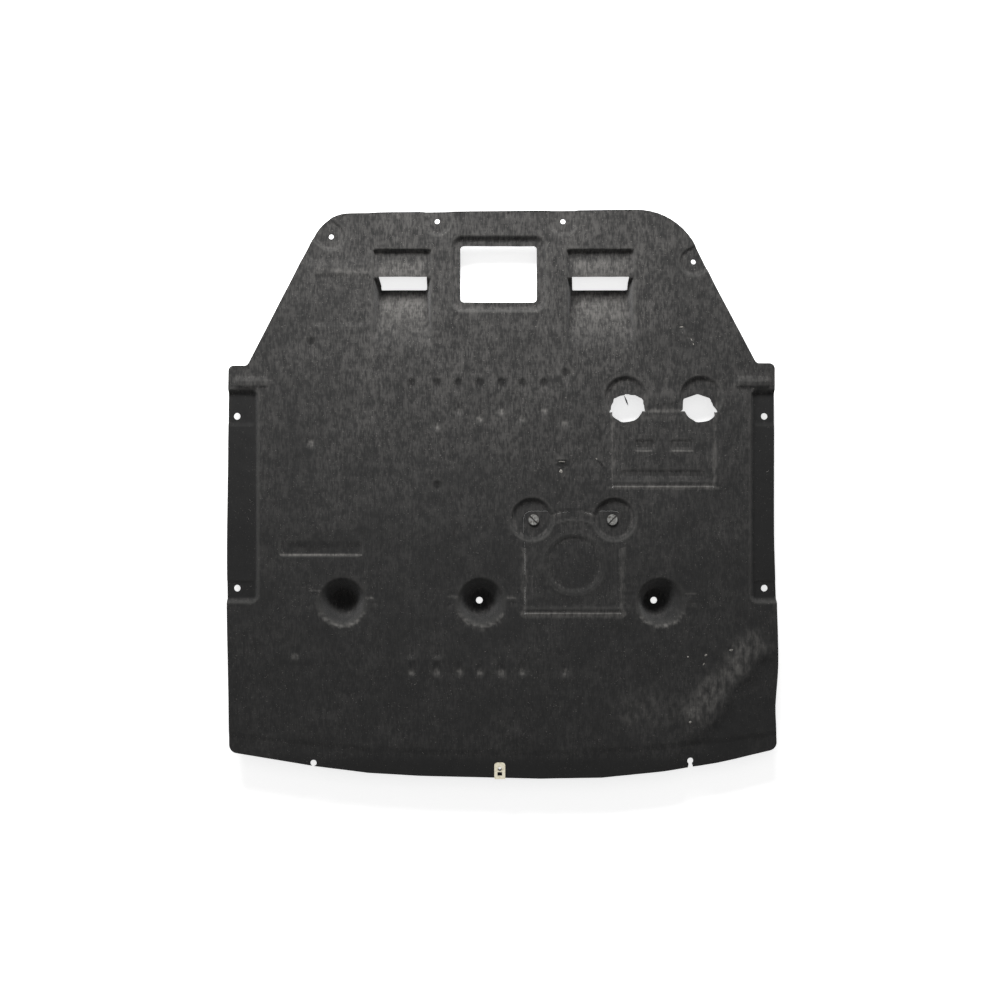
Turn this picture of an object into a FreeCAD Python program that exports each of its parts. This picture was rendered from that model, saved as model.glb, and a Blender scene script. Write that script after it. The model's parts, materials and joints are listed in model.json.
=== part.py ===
"""Engine splash shield: a moulded fibre sheet with two service flaps, turn studs and a clip nut.

Millimetres. +X is to the right and +Y to the rear of the vehicle, with the side that faces the road
up (+Z), so the shield lies on the floors of its wells and scoops. The origin is the middle of its
footprint, on that floor.
"""
import FreeCAD
import Part
import math
import os

Vector = FreeCAD.Vector

# Moulded sheet
SHEET = 4.0
WALL = 4.0
RIM = 2.5
WELL_DEPTH = 42.0
TOP = WELL_DEPTH + SHEET
UNDER = WELL_DEPTH
ABOVE = 10.0

# Outline
PANEL_LENGTH = 912.0
PANEL_WIDTH = 884.0
REAR_WIDTH = 567.0
SHOULDER_SETBACK = 248.5
SHOULDER_LEDGE = 30.0
SHOULDER_CORNER = 9.0
SHOULDER_FILLET = 8.0
REAR_CORNER_LEFT = 65.0
REAR_CORNER_RIGHT = 108.0
REAR_SLOPE = 6.0
SLANT_BOW = 2.6
SLANT_RADIUS = 700.0
SIDE_BOW = 4.0
SIDE_RADIUS = 1500.0
RIPPLE = 5.0
RIPPLE_RADIUS = 220.0
SIDE_MIDDLE = -98.0
RIGHT_MIDDLE = -85.0
RIGHT_SKEW = 1.5
RIPPLE_REAR = -275.0
RIPPLE_FRONT = -340.0
FRONT_BOW = 43.0
FRONT_CORNER = 14.0
FRONT_RADIUS = 1200.0
FRONT_LEFT_X = -215.0
FRONT_LEFT_RISE = 6.5
FRONT_RIGHT_X = 160.0
FRONT_RIGHT_DROP = 2.3
FRONT_TURN_X = 345.0
FRONT_TURN_RISE = 24.0

# Wells for the deep bolts: X of each rim, and X of its hole from the rim's middle, or None where it has none
WELLS = [(-256.3, None), (-33.9, -3.2), (254.1, -7.2)]
WELL_Y = -172.8
WELL_RIM = 39.0
WELL_MOUTH = 29.0
WELL_FLOOR = 19.0
WELL_FLARE = 9.0
WELL_HOLE = 11.0

# Window with a sunk land round it
WINDOW_X = -5.9
WINDOW_Y = 353.0
WINDOW_WIDTH = 123.0
WINDOW_HEIGHT = 91.0
WINDOW_CORNER = 6.0
WINDOW_LAND = 8.0
WINDOW_SUNK = 8.0

# Air scoops: left and right X of each mouth
SCOOPS = [(-206.7, -113.9), (103.7, 210.9)]
SCOOP_FRONT = 241.6
SCOOP_RAMP_END = 331.7
SCOOP_LIP_EDGE = 348.0
SCOOP_REAR = 391.0
SCOOP_DEPTH = WELL_DEPTH
SCOOP_LIP_DROP = 3.0
SCOOP_LIP_SUNK = 13.0
SCOOP_DRAFT = 8.0
SCOOP_CORNER = 5.0
SCOOP_LAP = 1.0

# Rear edge pads: X and Y of each hole, and the angle at which its pad runs out to the edge
REAR_HOLES = [(-274.7, 413.4, 142.0), (-104.2, 437.0, 90.0), (97.6, 437.0, 90.0), (306.7, 372.2, 27.0)]
REAR_HOLE = 8.0
REAR_PAD = 21.0
REAR_PAD_RUN = 70.0
REAR_PAD_SUNK = 4.0
REAR_PAD_ROUND = 0.9

# Side flanges with four holes, and the raised ledges behind them
SIDE_HOLE_SPAN = 846.6
SIDE_HOLE_PITCH = 276.0
SIDE_HOLE_X = -2.3
SIDE_HOLE_Y = -13.2
SIDE_HOLE = 10.8
FLANGE_LEFT = 49.0
FLANGE_RIGHT = 42.0
FLANGE_REAR = 165.0
FLANGE_FRONT = -171.0
FLANGE_SUNK = 7.0
FLANGE_CORNER = 10.0
LEDGE_LENGTH = 58.0
LEDGE_WIDTH = 19.0
LEDGE_RISE = 4.0
LEDGE_DRAFT = 5.0
LEDGE_INSET = 12.0

# Front edge fixings: hole left, clip in the middle, torn hole right
FRONT_PITCH = 302.0
FRONT_HOLE = 10.0
FRONT_INSET = 14.5
NOTCH_WIDTH = 17.0
NOTCH_DEPTH = 2.4
TEAR_NECK = 6.5
TEAR_MOUTH = 17.0

# Stiffening troughs: rear row, front row and three single ones
TROUGH_WIDTH = 14.0
TROUGH_SUNK = 2.5
TROUGH_PITCH = 34.3
TROUGH_FIRST_X = -104.3
TROUGH_REAR = 184.0
TROUGH_FRONTS = [104.0, 128.0, 116.0, 128.0, 116.0, 128.0, 108.0]
DIMPLE_X = [-144.3, -104.3, -69.1, -36.0, -1.0, 31.7, 101.3]
DIMPLE_Y = -276.0
DIMPLE_LENGTH = 30.0
LONG_TROUGHS = [(-306.0, 250.0, 76.0), (-144.3, 184.0, 118.0), (331.0, -12.0, -240.0)]
SLOT_X = -290.0
SLOT_Y = -86.0
SLOT_LENGTH = 131.0
SLOT_WIDTH = 26.0
SLOT_CORNER = 6.0
PAD_X = -256.0
PAD_Y = 311.0
PAD_WIDTH = 92.0
PAD_HEIGHT = 92.0
PAD_CORNER = 8.0
SHALLOW = 2.5

# Service flaps, cut free of the sheet on three sides and folded on the fourth
KERF = 0.8
POCKET_FLOOR = 28.5
POCKET_SUNK = 7.0
DRAIN_X = 113.6
DRAIN_HINGE = -191.5
DRAIN_WIDTH = 154.0
DRAIN_LENGTH = 156.5
DRAIN_CROWN = 11.5
DRAIN_RING = 43.0
STUD_X = 63.0
STUD_Y = 150.0
POCKET_X = 66.0
POCKET_Y = 151.0
FILTER_X = 258.0
FILTER_HINGE = 11.5
FILTER_WIDTH = 163.0
FILTER_LENGTH = 121.0
FILTER_POCKET_X = 60.0
FILTER_POCKET_Y = 143.0
FILTER_TEAR = 28.3
FILTER_TEAR_Y = 132.0
EAR_REACH = 16.0
EAR_CORNER = 13.0
EAR_NECK = 6.0
EAR_SETBACK = 2.0
EAR_FLARE_FRONT = 45.0
EAR_FLARE_REAR = 25.0
EAR_LEAN = 4.0
FLAP_CORNER = 3.0
CROWN_RADIUS = 100.0
FILTER_EAR_FRONT = 3.0
FILTER_EAR_LENGTH = 25.0
FILTER_EAR_IN = 33.0
FILTER_EAR_CORNER = 6.0
FILTER_FLARE = 8.0

# Reliefs pressed into the flaps
RING_Y = 79.0
RELIEF_X = 29.0
RELIEF_Y = 67.0
RELIEF_WIDTH = 32.0
RELIEF_HEIGHT = 17.0
RELIEF_CORNER = 4.0
BAR_Y = 20.0
BAR_WIDTH = 130.0
BAR_HEIGHT = 14.0

# Quarter-turn studs
STUD_HEAD = 18.0
STUD_HEAD_HEIGHT = 3.5
STUD_SHANK = 8.0
STUD_SLOT = 2.2
STUD_SLOT_DEPTH = 1.6
STUD_SLOT_ANGLE = 45.0
STUD_PLAY = 0.3
WASHER = 15.0
WASHER_THICK = 1.2
PAWL_LENGTH = 26.0
PAWL_WIDTH = 9.0
PAWL_THICK = 3.0

# Clip nut on the front edge
CLIP_X = -3.8
CLIP_WIDTH = 17.5
CLIP_LENGTH = 25.0
CLIP_CORNER = 5.0
CLIP_SHEET = 1.2
CLIP_HOLE = 6.2
CLIP_WINDOW = 7.5
CLIP_WINDOW_LENGTH = 5.6
CLIP_SPACE = 4.0
CLIP_PLAY = 0.5
NUT_OUTSIDE = 10.0
NUT_BORE = 5.0
NUT_LENGTH = 6.0

half_length = PANEL_LENGTH / 2
half_width = PANEL_WIDTH / 2


def rounded_wire(points, z):
    """A closed wire through corners (x, y, radius), each rounded by a tangent arc."""
    starts, ends, middles = [], [], []
    count = len(points)
    for index, (x, y, radius) in enumerate(points):
        corner = Vector(x, y, z)
        before = Vector(points[index - 1][0], points[index - 1][1], z) - corner
        after = Vector(points[(index + 1) % count][0], points[(index + 1) % count][1], z) - corner
        before.normalize()
        after.normalize()
        half = before.getAngle(after) / 2
        reach = radius / math.tan(half)
        inward = before + after
        inward.normalize()
        starts.append(corner + before * reach)
        ends.append(corner + after * reach)
        middles.append(corner + inward * (radius / math.sin(half) - radius))
    edges = []
    for index in range(count):
        if points[index][2] > 0:
            edges.append(Part.Arc(starts[index], middles[index], ends[index]).toShape())
        following = starts[(index + 1) % count]
        if ends[index].distanceToPoint(following) > 1e-6:
            edges.append(Part.LineSegment(ends[index], following).toShape())
    return Part.Wire(edges)


def box_wire(x, y, width, height, corner, z):
    """A rounded rectangle about (x, y)."""
    right, rear = x + width / 2, y + height / 2
    left, front = x - width / 2, y - height / 2
    corners = [(left, front), (right, front), (right, rear), (left, rear)]
    return rounded_wire([(cx, cy, corner) for cx, cy in corners], z)


def prism(wire, height):
    """The solid between a flat wire and its copy at a height above it."""
    return Part.Face(wire).extrude(Vector(0, 0, height))


def disc(x, y, z, radius, height):
    return Part.makeCylinder(radius, height, Vector(x, y, z))


def pressed(section, depth, draft):
    """The hollow of a pressed form and the wall round it, or None where the form only thins the sheet."""
    slope = draft / depth
    hollow = Part.makeLoft([section(slope * RIM, TOP + RIM), section(-draft, TOP - depth)], True, True)
    if depth <= SHALLOW:
        return hollow, None
    body_sections = [section(WALL, UNDER + SHEET / 2), section(WALL - draft, UNDER - depth)]
    return hollow, Part.makeLoft(body_sections, True, True)


def pressed_box(x, y, width, height, corner, depth, draft):
    def section(grow, z):
        return box_wire(x, y, width + 2 * grow, height + 2 * grow, corner + grow, z)
    return pressed(section, depth, draft)


def pressed_round(x, y, radius, depth, draft):
    def section(grow, z):
        return Part.Wire(Part.makeCircle(radius + grow, Vector(x, y, z)))
    return pressed(section, depth, draft)


def outline_wire(z):
    """The trimmed edge of the sheet, counter-clockwise from the rear left corner."""
    rear = half_length
    front = -half_length
    shoulder = rear - SHOULDER_SETBACK
    corner_y = front + FRONT_BOW
    rear_half = REAR_WIDTH / 2
    side = half_width - SIDE_BOW
    ledge = side - SHOULDER_LEDGE
    slant_x = (rear_half + ledge) / 2 - SLANT_BOW
    slant_y = (rear + shoulder) / 2
    return rounded_wire([
        (-rear_half, rear - REAR_SLOPE, REAR_CORNER_LEFT),
        (-slant_x, slant_y, SLANT_RADIUS),
        (-ledge, shoulder - SHEET / 2, SHOULDER_FILLET),
        (-side, shoulder - SHEET / 2, SHOULDER_CORNER),
        (-half_width, SIDE_MIDDLE, SIDE_RADIUS),
        (SIDE_BOW / 4 - side, corner_y, FRONT_CORNER),
        (FRONT_LEFT_X, front + FRONT_LEFT_RISE, FRONT_RADIUS),
        (FRONT_RIGHT_X, front - FRONT_RIGHT_DROP, FRONT_RADIUS),
        (FRONT_TURN_X, front + FRONT_TURN_RISE, FRONT_RADIUS / 2),
        (half_width - SIDE_BOW / 4, corner_y + SIDE_BOW, FRONT_CORNER),
        (side, RIPPLE_FRONT, RIPPLE_RADIUS),
        (side + RIPPLE, RIPPLE_REAR, RIPPLE_RADIUS),
        (side - RIGHT_SKEW, RIGHT_MIDDLE, SIDE_RADIUS),
        (side - RIGHT_SKEW, shoulder + SHEET / 2, SHOULDER_CORNER),
        (ledge - RIGHT_SKEW, shoulder + SHEET / 2, SHOULDER_FILLET),
        (slant_x - RIGHT_SKEW, slant_y, SLANT_RADIUS),
        (rear_half - 2 * RIGHT_SKEW, rear, REAR_CORNER_RIGHT),
    ], z)


def front_edge(outline, x):
    """Y of the front edge at a given X."""
    ray = Part.LineSegment(Vector(x, -PANEL_LENGTH, 0), Vector(x, 0, 0)).toShape()
    return outline.distToShape(ray)[1][0][0].y


def well(x):
    """A bolt well with a flared rim: its hollow and its wall, turned about its axis."""
    bend = WELL_MOUTH + (WELL_RIM - WELL_MOUTH) / 3

    def turned(profile):
        points = [Vector(radius, 0, z) for radius, z in profile]
        face = Part.Face(Part.makePolygon(points + points[:1]))
        solid = face.revolve(Vector(0, 0, 0), Vector(0, 0, 1), 360)
        solid.translate(Vector(x, WELL_Y, 0))
        return solid

    hollow = turned([(0, TOP + ABOVE), (WELL_RIM, TOP + ABOVE), (WELL_RIM, TOP),
                     (bend, TOP - WELL_FLARE / 3), (WELL_MOUTH, TOP - WELL_FLARE),
                     (WELL_FLOOR, TOP - WELL_DEPTH), (0, TOP - WELL_DEPTH)])
    body = turned([(0, UNDER + SHEET / 2), (WELL_RIM, UNDER + SHEET / 2), (WELL_RIM, UNDER),
                   (WELL_MOUTH + WALL, UNDER - WELL_FLARE), (WELL_FLOOR + WALL, UNDER - WELL_DEPTH),
                   (0, UNDER - WELL_DEPTH)])
    return hollow, body


def scoop(left, right):
    """A ramp that sinks to a through slot, with a lip behind the slot: hollows and bodies."""
    middle, width = (left + right) / 2, right - left

    def ramp_section(front, rear, inset, z):
        half = width / 2 - inset
        return rounded_wire([(middle - half, front, SCOOP_CORNER), (middle + half, front, SCOOP_CORNER),
                             (middle + half, rear, 0), (middle - half, rear, 0)], z)

    ramp_floor = ramp_section(SCOOP_RAMP_END, SCOOP_LIP_EDGE, SCOOP_DRAFT, TOP - SCOOP_DEPTH)
    ramp = Part.makeLoft([ramp_section(SCOOP_FRONT, SCOOP_LIP_EDGE, 0, TOP + ABOVE),
                          ramp_section(SCOOP_FRONT, SCOOP_LIP_EDGE, 0, TOP),
                          ramp_floor], True, True)
    slot = prism(ramp_floor, -SHEET - ABOVE)
    back = SCOOP_LIP_EDGE - WALL / 2
    ramp_body = Part.makeLoft([ramp_section(SCOOP_FRONT, back, -WALL, UNDER),
                               ramp_section(SCOOP_RAMP_END, back, SCOOP_DRAFT - WALL, UNDER - SCOOP_DEPTH)],
                              True, True)

    def lip_prism(profile, start, length):
        points = [Vector(start, y, z) for y, z in profile]
        face = Part.Face(Part.makePolygon(points + points[:1]))
        return face.extrude(Vector(length, 0, 0))

    step = SCOOP_REAR - WALL / 2
    edge = SCOOP_LIP_EDGE - SCOOP_LAP
    lip = lip_prism([(edge, TOP + ABOVE), (SCOOP_REAR, TOP + ABOVE), (SCOOP_REAR, TOP),
                     (step, TOP - SCOOP_LIP_SUNK), (edge, TOP - SCOOP_LIP_DROP)], left, width)
    lip_body = lip_prism([(edge, UNDER + SHEET / 2), (SCOOP_REAR + WALL, UNDER + SHEET / 2),
                          (step + WALL, UNDER - SCOOP_LIP_SUNK), (step, UNDER - SCOOP_LIP_SUNK),
                          (edge, UNDER - SCOOP_LIP_DROP)], left - WALL, width + 2 * WALL)
    return [ramp, slot, lip], [ramp_body, lip_body]


def trough(x, rear, front):
    """A stiffening trough with round ends, along Y."""
    return pressed_box(x, (rear + front) / 2, TROUGH_WIDTH, rear - front, TROUGH_WIDTH / 2,
                       TROUGH_SUNK, TROUGH_SUNK)


def rear_pad(x, y, angle):
    """A pressed pad round a rear hole, open to the edge of the sheet."""
    along = Vector(math.cos(math.radians(angle)), math.sin(math.radians(angle)), 0)
    across = Vector(-along.y, along.x, 0)

    def section(grow, z):
        half = REAR_PAD + grow
        far = REAR_PAD_RUN + grow
        corners = [(-half, -half), (far, -half), (far, half), (-half, half)]
        points = [Vector(x, y, 0) + along * a + across * b for a, b in corners]
        return rounded_wire([(point.x, point.y, half * REAR_PAD_ROUND) for point in points], z)
    return pressed(section, REAR_PAD_SUNK, REAR_PAD_SUNK / 2)


def drain_wire(z, grow):
    """Outline of the drain flap with its two ears, from the hinge edge."""
    half = DRAIN_WIDTH / 2 + grow
    ear_out = STUD_X + EAR_REACH + grow
    ear_top = STUD_Y + EAR_REACH - EAR_SETBACK + grow
    ear_in = STUD_X - EAR_REACH - EAR_NECK - grow
    top = DRAIN_LENGTH + grow
    crown = DRAIN_LENGTH + DRAIN_CROWN + grow
    points = [(half, -grow, 0), (half, STUD_Y - EAR_FLARE_FRONT, FLAP_CORNER),
              (ear_out, STUD_Y - EAR_FLARE_REAR, FLAP_CORNER), (ear_out, ear_top, EAR_CORNER),
              (ear_in, ear_top, FLAP_CORNER), (ear_in - EAR_LEAN, top, FLAP_CORNER), (0, crown, CROWN_RADIUS)]
    points += [(-px, py, radius) for px, py, radius in reversed(points[:-1])]
    return rounded_wire([(px + DRAIN_X, py + DRAIN_HINGE, radius) for px, py, radius in points], z)


def filter_wire(z, grow):
    """Outline of the filter flap with the ears that it had, from the hinge edge."""
    half = FILTER_WIDTH / 2 + grow
    ear_low = FILTER_LENGTH - FILTER_EAR_FRONT
    ear_top = FILTER_LENGTH + FILTER_EAR_LENGTH + grow
    ear_in = FILTER_EAR_IN - grow
    points = [(half, -grow, 0), (half, ear_low - FILTER_FLARE, FLAP_CORNER),
              (half + EAR_LEAN, ear_low, FLAP_CORNER),
              (half - EAR_NECK, ear_top - EAR_LEAN, FILTER_EAR_CORNER),
              (FILTER_POCKET_X - EAR_LEAN, ear_top + EAR_SETBACK, FILTER_EAR_CORNER),
              (ear_in, ear_top - EAR_LEAN, FLAP_CORNER),
              (ear_in - EAR_SETBACK, FILTER_LENGTH + grow, FLAP_CORNER)]
    points += [(-px, py, radius) for px, py, radius in reversed(points)]
    return rounded_wire([(px + FILTER_X, py + FILTER_HINGE, radius) for px, py, radius in points], z)


def moulded_sheet():
    """The whole sheet with its holes and edge damage, before the flaps are cut free."""
    outline = outline_wire(0)
    blank = prism(outline, TOP + ABOVE)
    plate = prism(outline_wire(UNDER), SHEET)
    hollows, bodies = [], []

    def add(form):
        hollows.append(form[0])
        if form[1]:
            bodies.append(form[1])

    for x, hole in WELLS:
        add(well(x))
    land = 2 * WINDOW_LAND + WINDOW_SUNK
    add(pressed_box(WINDOW_X, WINDOW_Y, WINDOW_WIDTH + land, WINDOW_HEIGHT + land, WINDOW_CORNER + land / 2,
                    WINDOW_SUNK, WINDOW_SUNK / 2))
    for left, right in SCOOPS:
        cuts, walls = scoop(left, right)
        hollows.extend(cuts)
        bodies.extend(walls)
    for x, y, angle in REAR_HOLES:
        add(rear_pad(x, y, angle))
    flange_length = FLANGE_REAR - FLANGE_FRONT
    flange_y = (FLANGE_REAR + FLANGE_FRONT) / 2
    for side, flange in ((-1, FLANGE_LEFT), (1, FLANGE_RIGHT)):
        add(pressed_box(side * half_width, flange_y, 2 * flange, flange_length, FLANGE_CORNER,
                        FLANGE_SUNK, FLANGE_SUNK / 2))
    for index, front in enumerate(TROUGH_FRONTS):
        add(trough(TROUGH_FIRST_X + index * TROUGH_PITCH, TROUGH_REAR, front))
    for x, rear, front in LONG_TROUGHS:
        add(trough(x, rear, front))
    for x in DIMPLE_X:
        add(trough(x, DIMPLE_Y + DIMPLE_LENGTH / 2, DIMPLE_Y - DIMPLE_LENGTH / 2))
    add(pressed_box(SLOT_X, SLOT_Y, SLOT_LENGTH, SLOT_WIDTH, SLOT_CORNER, SHALLOW, SHALLOW))
    add(pressed_box(PAD_X, PAD_Y, PAD_WIDTH, PAD_HEIGHT, PAD_CORNER, SHALLOW, SHALLOW))
    pocket = POCKET_FLOOR + POCKET_SUNK / 2
    for sign in (-1, 1):
        for x, y in ((DRAIN_X + sign * POCKET_X, DRAIN_HINGE + POCKET_Y),
                     (FILTER_X + sign * FILTER_POCKET_X, FILTER_HINGE + FILTER_POCKET_Y)):
            add(pressed_round(x, y, pocket, POCKET_SUNK, POCKET_SUNK / 2))
        add(pressed_box(FILTER_X + sign * RELIEF_X, FILTER_HINGE + RELIEF_Y, RELIEF_WIDTH, RELIEF_HEIGHT,
                        RELIEF_CORNER, SHALLOW, SHALLOW))
    add(pressed_round(DRAIN_X, DRAIN_HINGE + RING_Y, DRAIN_RING, SHALLOW, SHALLOW))
    add(pressed_box(FILTER_X, FILTER_HINGE + BAR_Y, BAR_WIDTH, BAR_HEIGHT, RELIEF_CORNER, SHALLOW, SHALLOW))

    walls = [body.common(blank) for body in bodies]
    sheet = plate.fuse(walls).cut(hollows)
    sheet = sheet.fuse([ledge(side) for side in (-1, 1)])
    return sheet.cut(hole_tools(outline)).removeSplitter()


def ledge(side):
    """The raised ledge at the rear end of a side flange."""
    x = side * (half_width - LEDGE_INSET - LEDGE_LENGTH / 2)
    y = FLANGE_REAR + RIM + LEDGE_WIDTH / 2
    low = box_wire(x, y, LEDGE_LENGTH, LEDGE_WIDTH, LEDGE_DRAFT, TOP - SHEET / 2)
    high = box_wire(x, y, LEDGE_LENGTH - 2 * LEDGE_DRAFT, LEDGE_WIDTH - 2 * LEDGE_DRAFT, LEDGE_DRAFT / 2,
                    TOP + LEDGE_RISE)
    return Part.makeLoft([low, high], True, True)


def hole_tools(outline):
    """Every hole and edge cut that goes right through."""
    deep = TOP + 2 * ABOVE
    tools = [prism(box_wire(WINDOW_X, WINDOW_Y, WINDOW_WIDTH, WINDOW_HEIGHT, WINDOW_CORNER, -ABOVE), deep)]
    for x, offset in WELLS:
        if offset is not None:
            tools.append(disc(x + offset, WELL_Y, -ABOVE, WELL_HOLE / 2, deep))
    for x, y, angle in REAR_HOLES:
        tools.append(disc(x, y, -ABOVE, REAR_HOLE / 2, deep))
    for x_side in (-1, 1):
        for y_side in (-1, 1):
            x = SIDE_HOLE_X + x_side * SIDE_HOLE_SPAN / 2
            y = SIDE_HOLE_Y + y_side * SIDE_HOLE_PITCH / 2
            tools.append(disc(x, y, -ABOVE, SIDE_HOLE / 2, deep))
    for x in (-FRONT_PITCH, CLIP_X, FRONT_PITCH):
        tools.append(disc(x, front_edge(outline, x) + FRONT_INSET, -ABOVE, FRONT_HOLE / 2, deep))
    notch_y = front_edge(outline, -FRONT_PITCH)
    notch = box_wire(-FRONT_PITCH, notch_y - ABOVE + NOTCH_DEPTH, NOTCH_WIDTH, 2 * ABOVE, NOTCH_DEPTH, -ABOVE)
    tools.append(prism(notch, deep))
    tear_y = front_edge(outline, FRONT_PITCH)
    neck_y = tear_y + FRONT_INSET / 2
    half_tear = [(TEAR_NECK / 2, tear_y + FRONT_INSET), (TEAR_NECK / 2, neck_y),
                 (TEAR_MOUTH / 2, tear_y - ABOVE)]
    tear = [(-x, y) for x, y in half_tear] + half_tear[::-1]
    torn = [Vector(FRONT_PITCH + x, y, -ABOVE) for x, y in tear]
    tools.append(prism(Part.makePolygon(torn + torn[:1]), deep))
    return tools


def stud(sign):
    """A quarter-turn stud: slotted head, shank and pawl, with the pawl turned back under the flap."""
    ear_top = TOP - POCKET_SUNK
    ear_under = ear_top - SHEET
    x, y = DRAIN_X + sign * STUD_X, DRAIN_HINGE + STUD_Y
    bevel = STUD_HEAD_HEIGHT / 3
    head = disc(x, y, ear_top, STUD_HEAD / 2, STUD_HEAD_HEIGHT - bevel)
    crown_base = Vector(x, y, ear_top + STUD_HEAD_HEIGHT - bevel)
    head = head.fuse(Part.makeCone(STUD_HEAD / 2, STUD_HEAD / 2 - bevel, bevel, crown_base))
    slot_base = Vector(x - STUD_HEAD, y - STUD_SLOT / 2, ear_top + STUD_HEAD_HEIGHT - STUD_SLOT_DEPTH)
    slot = Part.makeBox(STUD_HEAD * 2, STUD_SLOT, STUD_HEAD_HEIGHT, slot_base)
    slot.rotate(Vector(x, y, 0), Vector(0, 0, 1), sign * STUD_SLOT_ANGLE)
    pawl_top = ear_under - WASHER_THICK
    shank = disc(x, y, pawl_top - PAWL_THICK, STUD_SHANK / 2, ear_top - pawl_top + PAWL_THICK)
    half = PAWL_WIDTH / 2
    tip, heel = (y - PAWL_LENGTH, PAWL_WIDTH / 4), (y + half, PAWL_WIDTH / 2.2)
    corners = [(x - half, *tip), (x + half, *tip), (x + half, *heel), (x - half, *heel)]
    arm = prism(rounded_wire(corners, pawl_top - PAWL_THICK), PAWL_THICK)
    return head.fuse([shank, arm]).cut(slot).removeSplitter()


def washer(sign):
    """The push-on washer under the ear."""
    x, y = DRAIN_X + sign * STUD_X, DRAIN_HINGE + STUD_Y
    base = TOP - POCKET_SUNK - SHEET - WASHER_THICK
    return disc(x, y, base, WASHER / 2, WASHER_THICK).cut(disc(x, y, base, STUD_SHANK / 2, WASHER_THICK))


def clip_nut(edge_y):
    """A U of spring strip over the front edge, with a threaded collar under it."""
    hole_y = edge_y + FRONT_INSET
    rear = edge_y + CLIP_LENGTH
    front = edge_y - CLIP_PLAY - CLIP_SHEET
    half = CLIP_WIDTH / 2
    left, right = CLIP_X - half, CLIP_X + half
    outside = rounded_wire([(left, front, CLIP_SHEET), (right, front, CLIP_SHEET), (right, rear, CLIP_CORNER),
                            (left, rear, CLIP_CORNER)], UNDER - CLIP_SHEET)
    strip = prism(outside, SHEET + 2 * CLIP_SHEET)
    room_base = Vector(CLIP_X - CLIP_WIDTH, edge_y - CLIP_PLAY, UNDER)
    room = Part.makeBox(2 * CLIP_WIDTH, 2 * CLIP_LENGTH, SHEET, room_base)
    collar_base = UNDER - CLIP_SHEET - NUT_LENGTH
    collar = disc(CLIP_X, hole_y, collar_base, NUT_OUTSIDE / 2, NUT_LENGTH)
    thread = disc(CLIP_X, hole_y, collar_base, NUT_BORE / 2, NUT_LENGTH + CLIP_SHEET)
    hole = disc(CLIP_X, hole_y, TOP, CLIP_HOLE / 2, CLIP_SHEET)
    window = Part.makeBox(CLIP_WINDOW, CLIP_WINDOW_LENGTH, CLIP_SHEET,
                          Vector(CLIP_X - CLIP_WINDOW / 2, edge_y + CLIP_SPACE, TOP))
    return strip.cut(room).fuse(collar).cut([thread, hole, window]).removeSplitter()


def main():
    sheet = moulded_sheet()
    deep = TOP + 2 * ABOVE
    panel = sheet.cut([prism(drain_wire(-ABOVE, KERF), deep), prism(filter_wire(-ABOVE, KERF), deep)])
    drain = sheet.common(prism(drain_wire(-ABOVE, 0), deep))
    for sign in (-1, 1):
        x, y = DRAIN_X + sign * STUD_X, DRAIN_HINGE + STUD_Y
        drain = drain.cut(disc(x, y, -ABOVE, STUD_SHANK / 2 + STUD_PLAY, deep))
    tear_y = FILTER_HINGE + FILTER_TEAR_Y
    tears = [disc(FILTER_X + sign * FILTER_POCKET_X, tear_y, -ABOVE, FILTER_TEAR, deep) for sign in (-1, 1)]
    tear_base = Vector(FILTER_X - FILTER_WIDTH, FILTER_HINGE + FILTER_LENGTH, -ABOVE)
    tears.append(Part.makeBox(2 * FILTER_WIDTH, FILTER_LENGTH, deep, tear_base))
    filter_flap = sheet.common(prism(filter_wire(-ABOVE, 0), deep)).cut(tears)
    parts = {"shield_panel": panel, "drain_flap": drain, "filter_flap": filter_flap,
             "left_turn_stud": stud(-1), "right_turn_stud": stud(1),
             "left_stud_washer": washer(-1), "right_stud_washer": washer(1),
             "clip_nut": clip_nut(front_edge(outline_wire(0), CLIP_X))}
    whole = Part.makeCompound(list(parts.values())).optimalBoundingBox(False, False)
    centre = Vector(-(whole.XMin + whole.XMax) / 2, -(whole.YMin + whole.YMax) / 2, -whole.ZMin)
    print("clip edge", front_edge(outline_wire(0), CLIP_X))
    print("shift to the origin", centre, "size", whole.XLength, whole.YLength, whole.ZLength)
    os.makedirs("parts", exist_ok=True)
    for name, shape in parts.items():
        shape.translate(centre)
        solids = shape.Solids
        print(name, "solids", len(solids), "valid", shape.isValid(), "volume", round(shape.Volume))
        result = solids[0] if len(solids) == 1 else Part.makeCompound(solids)
        result.exportStep("parts/" + name + ".step")


main()
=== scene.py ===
# %% [markdown]
# # Engine splash shield
# The shield is one moulded sheet of pressed fibre with two service flaps, two turn studs and a clip nut. It
# lies on the floors of its wells, with the side that faces the road up, and the camera looks straight down
# on it. The frame brings the CAD nodes and the joints, and the sheet is placed from the fold of the drain
# flap.

# %% Load the frame
import functools
import json
import math
import bpy
import numpy as np
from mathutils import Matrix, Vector
from mathutils.geometry import delaunay_2d_cdt


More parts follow.
